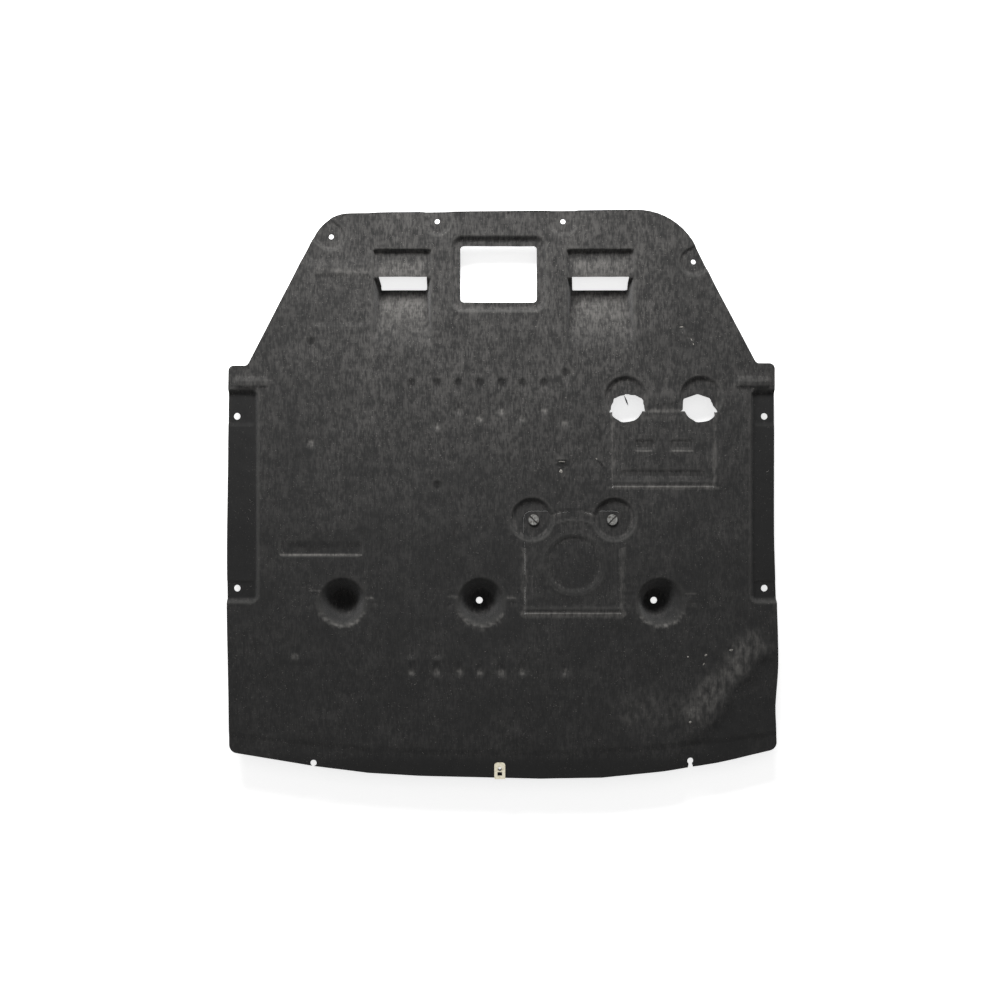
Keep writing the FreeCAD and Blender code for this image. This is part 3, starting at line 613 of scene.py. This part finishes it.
def scraped_and_lit_lines(x, y, patchy):
    """The folds and cuts of the flaps and the creases, scraped pale, and painted highlights on the trough
    ends.
    """
    bare_and_highlight = np.zeros_like(x)
    for middle, width, _, cut in FLAPS:
        line = to_box(x, y, (middle[0], middle[1] - KERF / 2), (width + 14.0, LINE_WIDTH), 0.5)
        side = np.abs(np.abs(x - middle[0]) - width / 2) + 9.0 * (np.abs(y - middle[1] - cut / 2) > cut / 2)
        bare_and_highlight = np.maximum(bare_and_highlight, 0.28 * ease(0.5 - line / 2.0))
        bare_and_highlight = np.maximum(bare_and_highlight, 0.16 * ease(1.1 - side / 1.4))
    # Painted highlight on the front end of each trough and dimple, in patches.
    for spot in LIT_TROUGH_ENDS:
        bare_and_highlight = np.maximum(bare_and_highlight, 0.36 * patchy * ease(0.5 - to_round(x, y, spot, 4.5) / 7.0))
    bare_and_highlight = np.maximum(bare_and_highlight, 0.24 * ease(1.0 - np.abs(flap_arc(x, y)) / 1.8))
    for middle, length, amount in LINES:
        line = to_box(x, y, middle, (length, LINE_WIDTH), 0.5)
        bare_and_highlight = np.maximum(bare_and_highlight, amount * ease(0.5 - line / 2.0))
    return bare_and_highlight


def bare_and_highlight_marks(x, y):
    """Scraped pale nap on lines and the creased corner, and painted highlights on the scoops, the plate's
    edge and the well rims.
    """
    patchy = np.clip(0.6 + 0.5 * waves(x, y, 11.0, 35), 0.15, 1)
    bare_and_highlight = scraped_and_lit_lines(x, y, patchy)
    # Painted highlight on each scoop's ramp and lip.
    for left, right in SCOOPS:
        across = ease((np.minimum(x - left, right - x) - 6.0) / 8.0)
        ramp = 0.2 * ease((y - 240.0) / 70.0) * (y < RAMP_END + 1)
        lip = 0.16 * ease((378.0 - y) / 8.0) * (y > LIP_EDGE - 1)
        bare_and_highlight += across * np.maximum(ramp, lip) * (0.5 + 0.5 * patchy)
    # Painted highlight along the rear edge of the plate.
    bare_and_highlight += 0.16 * patchy * ease(0.5 - to_box(x, y, PLATE_HIGHLIGHT, PLATE_HIGHLIGHT_SIZE, 3) / 6.0)
    # Painted highlight in patches on the front side of each well's rim.
    for rim_x, _ in WELLS:
        ring = 1.0 - np.abs(to_round(x, y, (rim_x, WELL_Y), 39.0)) / 6.0
        rim_patches = np.clip(0.4 + 0.7 * waves(x, y, 9.0, 33), 0, 1)
        bare_and_highlight += 0.3 * ease(ring) * ease((WELL_Y - 8.0 - y) / 20.0) * rim_patches
    along = (x - CREASE_START[0]) * CREASE_ALONG[0] + (y - CREASE_START[1]) * CREASE_ALONG[1]
    beside = ease(1.1 - np.abs(crease(x, y) + 24.0) / 32.0)
    band = beside * ease((along + 20.0) / 40.0) * ease((200.0 - along) / 50.0)
    streaks = np.clip(0.55 + 0.4 * waves(x * 2.2, y, 30.0, 32) + 0.25 * waves(x * 1.6, y, 12.0, 34), 0, 1)
    patch = ease(1.3 - np.hypot((x - 228.0) / 60.0, (y + 345.0) / 44.0))
    return np.clip(bare_and_highlight + (0.27 * band + 0.11 * patch) * streaks, 0, 1)


# %% Dirt, dust and smooth places
def dirt_and_shade_marks(x, y):
    """Painted shade at the rear ends of the troughs, a dark line beside the drain flap's arc, and where a
    gouge shows the dark inside of the sheet.
    """
    dirt_and_shade = np.zeros_like(x)
    # Painted shade on the rear end of each trough.
    for line_x, rear, _ in TROUGHS:
        dirt_and_shade = np.maximum(dirt_and_shade, 0.8 * ease(0.5 - to_round(x, y, (line_x, rear - 5.0), 6.0) / 5.0))
    dirt_and_shade = np.maximum(dirt_and_shade, 0.7 * ease(1.0 - np.abs(flap_arc(x, y) - 3.2) / 1.8))
    for middle, length, width, angle in GOUGES:
        along, across = along_across(x, y, middle, angle)
        dirt_and_shade = np.maximum(dirt_and_shade, ease((1.3 - np.hypot(along / length, across / width)) / 0.5))
    return dirt_and_shade


def surface_marks(x, y):
    """The marks of each place from 0 to 1: dusty, rubbed, pressed smooth, scraped bare with painted
    highlights, and dark with dirt and painted shade.
    """
    step = 3.0
    beside = height(x + step, y) + height(x - step, y) + height(x, y + step) + height(x, y - step)
    bend = beside / 4 - height(x, y)
    # Lighter towards the rear and a little uneven, and lighter in the hollows where dust lies.
    dust = 0.38 + 0.46 * ease((y + 170.0) / 420.0) + 0.07 * waves(x, y, 120.0, 31)
    dust = dust + np.clip(bend, 0, 0.6) * 0.6
    dust -= 0.16 * ease((np.abs(x) - 190.0) / 150.0) * ease((y + 60.0) / 200.0)
    dust -= 0.12 * ease((crease(x, y) - 6.0) / 20.0) * ease((x - 290.0) / 60.0) * ease((-190.0 - y) / 60.0)
    smooth = np.zeros_like(x)
    for edge_x, width in FLANGES:
        smooth = np.maximum(smooth, ease(0.5 - to_box(x, y, (edge_x, -3.0), (width, 330.0), 8) / 8.0))
    smooth = np.maximum(smooth, 0.8 * ease((-415.0 - y) / 20.0))
    return {"dust": np.clip(dust, 0, 1), "rub": np.clip(-bend * 1.6, 0, 1), "smooth": np.clip(smooth, 0, 1),
            "bare_and_highlight": bare_and_highlight_marks(x, y), "dirt_and_shade": dirt_and_shade_marks(x, y)}


# %% [markdown]
# ## From outlines to meshes
# The sheet is a thin skin with a crisp edge. A plain grid would cut across its outline, so a constrained
# triangulation keeps every edge. Points are close where the height bends and far apart where it is flat, so
# that the sheet stays light. The underside is the same surface, a sheet's thickness away along the normals.

# %% Points of one sheet
FINE, COARSE = 2.3, 3
BEND_LIMIT, BARE_AND_HIGHLIGHT_LIMIT, DIRT_AND_SHADE_LIMIT = 0.07, 0.2, 0.1
JITTER = 0.3


def inside(points, loop):
    """True for points within a closed line."""
    result = np.zeros(len(points), bool)
    px, py = points[:, 0], points[:, 1]
    for (x1, y1), (x2, y2) in zip(loop, np.roll(loop, -1, axis=0)):
        if y1 != y2:
            crossing = (y1 > py) != (y2 > py)
            result ^= crossing & (px < (x2 - x1) * (py - y1) / (y2 - y1) + x1)
    return result


def field_points(loops):
    """Grid points, fine where the height bends or a mark ends, kept clear of the given lines."""
    low = np.min([loop.min(axis=0) for loop in loops], axis=0)
    high = np.max([loop.max(axis=0) for loop in loops], axis=0)
    columns, rows = np.ceil((high - low) / FINE).astype(int) + 1
    x, y = np.meshgrid(low[0] + FINE * np.arange(columns), low[1] + FINE * np.arange(rows), indexing="ij")
    z = height(x, y)
    bend = sum(np.abs(np.gradient(np.gradient(z, axis=axis), axis=axis)) for axis in (0, 1))
    keep = (bend > BEND_LIMIT) | (bare_and_highlight_marks(x, y) > BARE_AND_HIGHLIGHT_LIMIT) | (dirt_and_shade_marks(x, y) > DIRT_AND_SHADE_LIMIT)
    keep[::COARSE, ::COARSE] = True
    for loop in loops:
        cell = (spaced(loop, FINE / 2) - low) / FINE
        for dx in (0, 1):
            for dy in (0, 1):
                column = np.clip(np.floor(cell[:, 0]).astype(int) + dx, 0, columns - 1)
                row = np.clip(np.floor(cell[:, 1]).astype(int) + dy, 0, rows - 1)
                keep[column, row] = False
    points = np.column_stack([x[keep], y[keep]])
    return points + np.random.default_rng(7).uniform(-JITTER, JITTER, points.shape)


def triangulated(edge, cuts):
    """Points inside an edge and outside the cuts, and the triangles between them, all turning left."""
    def on_sheet(points):
        keep = inside(points, edge)
        for cut in cuts:
            keep &= ~inside(points, cut)
        return keep

    loops = [edge] + cuts
    field = field_points(loops)
    points = [tuple(point) for point in field[on_sheet(field)]]
    lines = []
    for loop in loops:
        first = len(points)
        points.extend(tuple(point) for point in loop)
        lines.extend((first + i, first + (i + 1) % len(loop)) for i in range(len(loop)))
    flat, _, triangles, _, _, _ = delaunay_2d_cdt([Vector(point) for point in points], lines, [], 0, 1e-4)
    flat = np.array([tuple(point) for point in flat])
    triangles = np.array([tuple(face) for face in triangles])
    triangles = triangles[on_sheet(flat[triangles].mean(axis=1))]
    used, triangles = np.unique(triangles, return_inverse=True)
    triangles = triangles.reshape(-1, 3)
    flat = flat[used]
    sides = flat[triangles[:, 1:]] - flat[triangles[:, :1]]
    turned = sides[:, 0, 0] * sides[:, 1, 1] < sides[:, 0, 1] * sides[:, 1, 0]
    triangles[turned] = triangles[turned][:, ::-1]
    return flat, triangles


# %% Mesh of one sheet
def add_object(name, data):
    """A new object at the origin, linked into the scene."""
    made = bpy.data.objects.new(name, data)
    bpy.context.collection.objects.link(made)
    return made


def set_marks(mesh, marks):
    """One attribute on the points of a mesh for each mark."""
    for name, values in marks.items():
        layer = mesh.attributes.new(name, "FLOAT", "POINT")
        layer.data.foreach_set("value", values.astype(np.float32))


def sheet_normals(x, y):
    step = 0.5
    slope_x = height(x - step, y) - height(x + step, y)
    slope_y = height(x, y - step) - height(x, y + step)
    normals = np.column_stack([slope_x, slope_y, np.full_like(x, 2 * step)])
    return normals / np.linalg.norm(normals, axis=1)[:, None]


def sheet_mesh(name, edge, cuts):
    """A closed mesh of the sheet inside an edge and outside the cuts, with crisp rims."""
    flat, triangles = triangulated(edge, cuts)
    x, y = flat[:, 0], flat[:, 1]
    top = in_metres(x, y, height(x, y))
    under = top - sheet_normals(x, y) * SHEET * MM
    count = len(top)
    half_edges = dict.fromkeys(pair for a, b, c in triangles for pair in ((a, b), (b, c), (c, a)))
    rim = [(b, a, a + count, b + count) for a, b in half_edges if (b, a) not in half_edges]
    faces = triangles.tolist() + (triangles[:, ::-1] + count).tolist() + rim
    mesh = bpy.data.meshes.new(name)
    mesh.from_pydata(np.vstack([top, under]).tolist(), [], faces)
    mesh.polygons.foreach_set("use_smooth", [index < 2 * len(triangles) for index in range(len(faces))])
    pairs = np.empty(2 * len(mesh.edges), int)
    mesh.edges.foreach_get("vertices", pairs)
    border = {tuple(sorted(pair)) for a, b, c, d in rim for pair in ((a, b), (c, d))}
    sharp = mesh.attributes.new("sharp_edge", "BOOLEAN", "EDGE")
    sharp.data.foreach_set("value", [tuple(sorted(pair)) in border for pair in pairs.reshape(-1, 2).tolist()])
    marks = surface_marks(x, y)
    marks["inner"] = np.ones(count)
    marks["inner"][[vert for quad in rim for vert in quad[:2]]] = 0.0
    set_marks(mesh, {key: np.concatenate([values, values]) for key, values in marks.items()})
    mesh.validate()
    print(name, "triangles", len(faces), "points", count)
    return add_object(name, mesh)


# %% The panel and the flaps
panel = sheet_mesh("felt_panel", outline, holes + [drain_gap, filter_gap, gap_left, gap_right])
drain_flap = sheet_mesh("felt_drain_flap", drain_edge, stud_holes)
filter_flap = sheet_mesh("felt_filter_flap", filter_edge, filter_tears)
sheets = [(panel, "shield", "shield_panel", "panel"), (drain_flap, "drain_door", "drain_flap", "drain"),
          (filter_flap, "filter_door", "filter_flap", "filter")]
for piece, body, node, _ in sheets:
    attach(piece, body)
    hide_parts(node)

# %% [markdown]
# ## Pressed fibre
# The sheet is grey-black fibre whose strands run mostly front to rear. Single hairs would be far too many,
# so noise stands for them: streaked noise gives the strands, fine noise the nap, and the marks of the mesh
# say where the sheet is dusty, rubbed on an edge, pressed smooth, scraped bare or dark with dirt, and where
# painted highlights and painted shade fall.

# %% Fibre material
# The bare colour also paints highlights, and the dirt colour also paints shade.
DARK_FIBRE, DUSTY_FIBRE = (0.016, 0.016, 0.016, 1), (0.080, 0.077, 0.074, 1)
RUBBED_FIBRE, BARE_AND_HIGHLIGHT_FIBRE = (0.10, 0.098, 0.093, 1), (0.26, 0.25, 0.235, 1)
DIRT_AND_SHADE, SPECK = (0.007, 0.007, 0.007, 1), (0.20, 0.19, 0.18, 1)


def fibre_material():
    material, shader, place = new_material("pressed_fibre")
    dust, rub, smooth, bare_and_highlight, dirt_and_shade = (
        place.add("ShaderNodeAttribute", output=2, settings={"attribute_name": mark})
        for mark in ("dust", "rub", "smooth", "bare_and_highlight", "dirt_and_shade"))
    strands = noise(place, 470.0, 4.0, (1.0, 5.0, 5.0))
    cross = noise(place, 300.0, 3.0, (5.0, 1.0, 1.0))
    nap = noise(place, 1500.0, 2.0)
    cloud = noise(place, 9.0, 4.0)
    mottle = noise(place, 70.0, 4.0, (1.0, 1.5, 1.5))
    lumps = noise(place, 210.0, 3.0, (1.0, 1.8, 1.8))
    specks = noise(place, 520.0, 1.0).span(0.70, 0.76)
    grain = (strands * 0.34 + cross * 0.1 + mottle * 0.28 + lumps * 0.28).span(0.39, 0.61)
    light = dust * (0.74 + cloud * 0.3) * (0.35 + grain * 0.9)
    light = light * (1.0 - smooth * 0.6)
    colour = plain_colour(place, DARK_FIBRE).mix(DUSTY_FIBRE, (light * 0.62).span(0.0, 1.0))
    colour = colour.mix(RUBBED_FIBRE, rub * 0.22)
    # Scraped nap and painted highlights.
    colour = colour.mix(BARE_AND_HIGHLIGHT_FIBRE, bare_and_highlight * (0.35 + grain * 0.75))
    # Dirt, the dark inside of gouges, painted shade at the trough ends, and darker smooth places.
    colour = colour.mix(DIRT_AND_SHADE, dirt_and_shade * 0.85 + smooth * 0.5)
    colour = colour.mix(SPECK, specks * (0.15 + dust * 0.45) * (1.0 - smooth * 0.5))
    place.put(shader.inputs["Base Color"], colour)
    place.put(shader.inputs["Roughness"], 0.92 - smooth * 0.22 - nap * 0.1)
    shader.inputs["Specular IOR Level"].default_value = 0.06
    shader.inputs["Sheen Weight"].default_value = 0.12
    relief = (strands * 0.6 + cross * 0.15 + lumps * 0.5 + nap * 0.5) * (1.0 - smooth * 0.55)
    bump = place.add("ShaderNodeBump", Strength=0.55, Distance=0.0011, Height=relief)
    place.put(shader.inputs["Normal"], bump)
    return material


fibre = fibre_material()
for piece, *_ in sheets:
    piece.data.materials.append(fibre)
print("nodes of the fibre", len(fibre.node_tree.nodes))

# %% [markdown]
# ## Fold strips
# Each flap hangs on the sheet by a pressed crease. Two rigid pieces would show a gap there once the flap
# opens, so a thin bead covers the crease.

# %% Fold strips
STRIP_HALF, STRIP_BULGE, STRIP_LIFT, STRIP_THICKNESS = 1.8, 0.45, 0.05, 1.2
STRIP_MARKS = {"dust": 0.8, "rub": 0.5, "smooth": 0.1, "bare_and_highlight": 0.26, "dirt_and_shade": 0.0}


def fold_strip(name, middle, width):
    """A bead along a fold, rows across it and columns along it, with a closed underside."""
    rows, columns = 7, 60
    along = middle[0] - width / 2 + 1.0 + (width - 2.0) * np.arange(columns + 1) / columns
    across = np.tile(2 * np.arange(rows) / (rows - 1) - 1, columns + 1)
    x, y = np.repeat(along, rows), middle[1] - KERF / 2 + STRIP_HALF * across
    upper = in_metres(x, y, height(x, y) + STRIP_LIFT + STRIP_BULGE * (1 - across ** 2))
    count = len(upper)
    faces = []
    for i in range(columns):
        for j in range(rows - 1):
            a = i * rows + j
            quad = (a, a + rows, a + rows + 1, a + 1)
            faces.append(quad)
            faces.append(tuple(count + v for v in reversed(quad)))
    ring = list(range(rows)) + [i * rows + rows - 1 for i in range(1, columns + 1)]
    ring += [columns * rows + j for j in range(rows - 2, -1, -1)]
    ring += [i * rows for i in range(columns - 1, 0, -1)]
    for a, b in zip(ring, ring[1:] + ring[:1]):
        faces.append((a, b, b + count, a + count))
    mesh = bpy.data.meshes.new(name)
    mesh.from_pydata(np.vstack([upper, upper - (0, 0, STRIP_THICKNESS * MM)]).tolist(), [], faces)
    set_marks(mesh, {key: np.full(2 * count, value) for key, value in STRIP_MARKS.items()})
    mesh.materials.append(fibre)
    mesh.shade_smooth()
    strip = add_object(name, mesh)
    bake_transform(strip)
    print(name, "faces", len(faces))


fold_strip("drain_fold", DRAIN, DRAIN_WIDTH)
fold_strip("filter_fold", FILTER, FILTER_WIDTH)

# %% [markdown]
# ## Metal
# The studs and their washers are zinc plated steel, dull and scuffed, and the clip nut is yellow
# passivated. They could be drawn again, but their CAD solids have the true shapes, so they keep them and
# get finishes of their own: blotches, scratches, and painted shade on all that lies below their tops.

# %% Metal materials
ZINC, ZINC_STAIN = (0.15, 0.15, 0.145, 1), (0.06, 0.055, 0.05, 1)
YELLOW_ZINC, YELLOW_STAIN = (0.60, 0.56, 0.45, 1), (0.43, 0.39, 0.29, 1)
BRIGHT_SCRATCH, METAL_SHADE = (0.6, 0.59, 0.56, 1), (0.02, 0.019, 0.018, 1)


def metal_material(name, base, stain, roughness, shade_line):
    material, shader, place = new_material(name)
    blotch = noise(place, 260.0, 4.0)
    scratch = noise(place, 900.0, 2.0, (1.0, 14.0, 1.0)).span(0.6, 0.72)
    level = place.add("ShaderNodeSeparateXYZ", output=2, Vector=place)
    # Painted shade: darker below a level just under the top.
    deep = 1.0 - level.span(shade_line - 0.6 * MM, shade_line)
    colour = plain_colour(place, base).mix(stain, blotch.span(0.42, 0.72)).mix(BRIGHT_SCRATCH, scratch * 0.3)
    colour = colour.mix(METAL_SHADE, deep * 0.85)
    place.put(shader.inputs["Base Color"], colour)
    place.put(shader.inputs["Roughness"], roughness + blotch * 0.25 - scratch * 0.12)
    shader.inputs["Metallic"].default_value = 0.85
    bump = place.add("ShaderNodeBump", Strength=0.3, Distance=0.0002, Height=blotch - scratch * 0.4)
    place.put(shader.inputs["Normal"], bump)
    return material


stud_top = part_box("left_turn_stud")[1][2]
zinc = metal_material("zinc_steel_finish", ZINC, ZINC_STAIN, 0.5, stud_top - 0.5 * MM)
clip_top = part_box("clip_nut")[1][2]
yellow_zinc = metal_material("yellow_zinc_finish", YELLOW_ZINC, YELLOW_STAIN, 0.42, clip_top - 2.0 * MM)
for node, finish in (("left_turn_stud", zinc), ("right_turn_stud", zinc), ("left_stud_washer", zinc),
                     ("right_stud_washer", zinc), ("clip_nut", yellow_zinc)):
    slots = frame["nodes"][node].data.materials
    slots.clear()
    slots.append(finish)
print("stud top", stud_top, "clip top", clip_top)

# %% [markdown]
# ## Torn scraps
# Where the nap is torn, scraps stand up from the sheet, and a sliver hangs in the left gap. They are too
# few and too different for a scatter, so each is a small pointed lens at a place of its own.

# %% Finishes of loose fibre and dirt
LOOSE_FINISHES = {"lint_finish": ((0.09, 0.087, 0.082, 1), (0.21, 0.20, 0.19, 1)),
                  "grit_finish": ((0.07, 0.067, 0.06, 1), (0.17, 0.16, 0.145, 1)),
                  "torn_finish": ((0.11, 0.105, 0.097, 1), (0.30, 0.285, 0.26, 1))}


def loose_material(name, base, second):
    """A dull material that varies between two greys."""
    material, shader, place = new_material(name)
    colour = plain_colour(place, base).mix(second, noise(place, 700.0, 2.0).span(0.35, 0.65))
    place.put(shader.inputs["Base Color"], colour)
    shader.inputs["Roughness"].default_value = 0.95
    return material


loose = {name: loose_material(name, *colours) for name, colours in LOOSE_FINISHES.items()}
print("finishes", list(loose))

# %% Scraps
SCRAPS = [(95.7, 52.0, 19.0, 2.6, 0.0, 0.9), (94.0, 36.5, 5.5, 5.0, 20.0, 0.8),
          (151.0, 56.0, 4.0, 1.6, -45.0, 0.5), (366.9, -249.6, 8.0, 3.4, 8.0, 0.9),
          (322.9, -272.0, 7.5, 2.2, 55.0, 0.8), (297.4, -260.8, 3.0, 2.6, 0.0, 0.8),
          (326.0, -257.8, 5.0, 3.0, 30.0, 0.5), (301.0, -365.0, 5.0, 3.6, 10.0, 0.6),
          (303.0, 247.0, 6.0, 1.4, -60.0, 0.4), (288.0, 268.0, 10.0, 2.0, 10.0, 0.5),
          (306.0, 240.0, 4.0, 1.2, -70.0, 0.4)]
SLIVERS = [(199.0, 149.8, 19.0, 2.4, -68.0, 0.5)]
SCRAP_EDGE, SCRAP_ROOT = 0.15, 0.8


def flakes(name, spots, material):
    """Lifted scraps of nap: pointed lenses on the sheet, each as (x, y, length, width, angle, rise)."""
    dice = np.random.default_rng(9)
    verts, faces = [], []
    around = 12
    for x, y, length, width, angle, rise in spots:
        first = len(verts)
        turn = math.radians(angle)
        z = float(height(np.array([x]), np.array([y]))[0])
        for step in range(around):
            part = 2 * math.pi * step / around
            along = length / 2 * math.cos(part)
            across = width / 2 * math.sin(part) * abs(math.sin(part)) * dice.uniform(0.7, 1.3)
            verts.append((x + along * math.cos(turn) - across * math.sin(turn),
                          y + along * math.sin(turn) + across * math.cos(turn), z + SCRAP_EDGE))
        verts += [(x, y, z + rise), (x, y, z - SCRAP_ROOT)]
        for step in range(around):
            a, b = first + step, first + (step + 1) % around
            faces += [(a, b, first + around), (b, a, first + around + 1)]
    mesh = bpy.data.meshes.new(name)
    mesh.from_pydata(in_metres(*np.array(verts).T).tolist(), [], faces)
    mesh.materials.append(material)
    piece = add_object(name, mesh)
    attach(piece, "shield")
    print(name, "faces", len(faces))


flakes("torn_nap", SCRAPS, loose["torn_finish"])
flakes("torn_sliver", SLIVERS, fibre)

# %% [markdown]
# ## Lint and grit
# Road dirt leaves grit on the sheet, and the torn nap leaves pale lint. Hundreds of them by hand would be a
# chore, so Geometry Nodes scatter both over the upper surface: points with a fixed seed, a small grain or
# thread on each, turned and sized at random.


# %% A thread and a grain
def thread(node):
    line = node("GeometryNodeCurveQuadraticBezier", Resolution=5, Start=(-1.6 * MM, 0, 0),
                Middle=(0, 1.1 * MM, 0.5 * MM), End=(1.6 * MM, 0.2 * MM, 0.15 * MM))
    ring = node("GeometryNodeCurvePrimitiveCircle", Resolution=3, Radius=0.11 * MM)
    return node("GeometryNodeCurveToMesh", Curve=line.outputs[0], Profile_Curve=ring.outputs[0],
                Fill_Caps=True)


def grain(node):
    return node("GeometryNodeMeshIcoSphere", Radius=0.5 * MM, Subdivisions=1)


# %% Scatter by Geometry Nodes
UPWARD, CLEAR_OF_RIM, TILT = 0.3, 0.9, 0.3


def scatter_tree(name, form, sizes, material):
    """The node tree, with the identifiers of its Density and Seed inputs."""
    tree = bpy.data.node_groups.new(name, "GeometryNodeTree")
    tree.is_modifier = True
    tree.interface.new_socket("Geometry", in_out="INPUT", socket_type="NodeSocketGeometry")
    density = tree.interface.new_socket("Density", in_out="INPUT", socket_type="NodeSocketFloat")
    seed = tree.interface.new_socket("Seed", in_out="INPUT", socket_type="NodeSocketInt")
    tree.interface.new_socket("Geometry", in_out="OUTPUT", socket_type="NodeSocketGeometry")
    node = functools.partial(add_node, tree)
    given = node("NodeGroupInput").outputs
    facing = node("ShaderNodeSeparateXYZ", Vector=node("GeometryNodeInputNormal").outputs[0])
    upward = node("FunctionNodeCompare", {"operation": "GREATER_THAN"}, A=facing.outputs["Z"], B=UPWARD)
    inner = node("GeometryNodeInputNamedAttribute", Name="inner")
    clear = node("FunctionNodeCompare", {"operation": "GREATER_THAN"}, A=inner.outputs[0], B=CLEAR_OF_RIM)
    both = node("FunctionNodeBooleanMath", {"operation": "AND"}, i0=upward.outputs[0], i1=clear.outputs[0])
    places = node("GeometryNodeDistributePointsOnFaces", Mesh=given["Geometry"], Selection=both.outputs[0],
                  Density=given["Density"], Seed=given["Seed"])
    shape = form(node)
    turn = node("FunctionNodeRandomValue", {"data_type": "FLOAT_VECTOR"}, i0=(-TILT, -TILT, 0.0),
                i1=(TILT, TILT, 2 * math.pi), Seed=given["Seed"])
    size = node("FunctionNodeRandomValue", {"data_type": "FLOAT"}, i2=sizes[0], i3=sizes[1],
                Seed=given["Seed"])
    placed = node("GeometryNodeInstanceOnPoints", Points=places.outputs["Points"], Instance=shape.outputs[0],
                  Rotation=turn.outputs[0], Scale=size.outputs[1])
    real = node("GeometryNodeRealizeInstances", Geometry=placed.outputs[0])
    done = node("GeometryNodeSetMaterial", Geometry=real.outputs[0], Material=material)
    node("NodeGroupOutput", i0=done.outputs[0])
    return tree, density.identifier, seed.identifier


def scatter(name, source, form, density, seed, sizes, material):
    """A plain mesh of what the tree scatters over a copy of the source."""
    tree, density_input, seed_input = scatter_tree(name, form, sizes, material)
    carrier = add_object(name + "_carrier", source.data.copy())
    modifier = carrier.modifiers.new(name, "NODES")
    modifier.node_group = tree
    modifier[density_input] = density
    modifier[seed_input] = seed
    graph = bpy.context.evaluated_depsgraph_get()
    mesh = bpy.data.meshes.new_from_object(carrier.evaluated_get(graph), depsgraph=graph)
    bpy.data.objects.remove(carrier)
    print(name, "faces", len(mesh.polygons))
    return add_object(name, mesh)


for source, body, _, label in sheets:
    lint = scatter(label + "_lint", source, thread, 420.0, 5, (0.4, 1.5), loose["lint_finish"])
    grit = scatter(label + "_grit", source, grain, 480.0, 6, (0.35, 1.0), loose["grit_finish"])
    for piece in (lint, grit):
        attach(piece, body)

# %% [markdown]
# ## Floor, light and camera
# The floor is white to the camera and plain to the light, so that the holes show it and the shadow stays. A
# plain white floor would throw its light back on the sheet. One wide lamp stands low behind the rear edge,
# so every step that faces the rear is bright, and the sky fills the rest.

# %% Floor
FLOOR_HALF, FLOOR_LEVEL, FLOOR_GLOW = 15.0, -0.0005, 0.72


def seen_rays(tree):
    """1 for the rays that show a surface to the camera, straight, mirrored or through glass."""
    rays = tree.nodes.new("ShaderNodeLightPath").outputs
    seen = Value(tree, rays["Is Camera Ray"])
    for kind in ("Is Glossy Ray", "Is Transmission Ray"):
        seen = seen.maths("MAXIMUM", seen, Value(tree, rays[kind]))
    return seen


floor_mesh = bpy.data.meshes.new("floor")
floor_corners = [(sx * FLOOR_HALF, sy * FLOOR_HALF, FLOOR_LEVEL) for sx, sy in SQUARE]
floor_mesh.from_pydata(floor_corners, [], [(0, 1, 2, 3)])
floor = add_object("floor", floor_mesh)
floor_finish, floor_shader, floor_place = new_material("floor_finish")
floor_shader.inputs["Base Color"].default_value = (0.8, 0.8, 0.8, 1)
floor_shader.inputs["Roughness"].default_value = 1.0
floor_shader.inputs["Emission Color"].default_value = (1, 1, 1, 1)
floor_place.put(floor_shader.inputs["Emission Strength"], seen_rays(floor_finish.node_tree) * FLOOR_GLOW)
floor.data.materials.append(floor_finish)

# %% Light
SKY = 0.22
world = bpy.data.worlds.new("sky")
world.use_nodes = True
background = world.node_tree.nodes["Background"].inputs
background["Color"].default_value = (1, 1, 1, 1)
seen = seen_rays(world.node_tree)
seen.put(background["Strength"], SKY + seen * (1.0 - SKY))
bpy.context.scene.world = world


def lamp(name, place, aim, size, power):
    data = bpy.data.lights.new(name, "AREA")
    data.shape = "RECTANGLE"
    data.size, data.size_y = size
    data.energy = power
    made = add_object(name, data)
    made.location = place
    made.rotation_euler = (Vector(aim) - Vector(place)).to_track_quat("-Z", "Y").to_euler()
    print("lamp", name, power, "W")


lamp("key", (-0.2, 1.2, 0.92), (0.0, 0.1, 0.0), (1.2, 0.5), 46.0)
lamp("fill", (0.0, 0.5, 2.4), (0.0, 0.2, 0.0), (1.5, 1.5), 6.0)

# %% Camera
camera_data = bpy.data.cameras.new("camera")
camera_data.lens = 54.0
camera_data.sensor_width = 36.0
camera = add_object("camera", camera_data)
camera.location = (-0.0039, -0.0091, 2.446)
bpy.context.scene.camera = camera
bpy.context.scene.view_settings.view_transform = "Standard"
print("camera", list(camera.location), "lens", camera_data.lens)
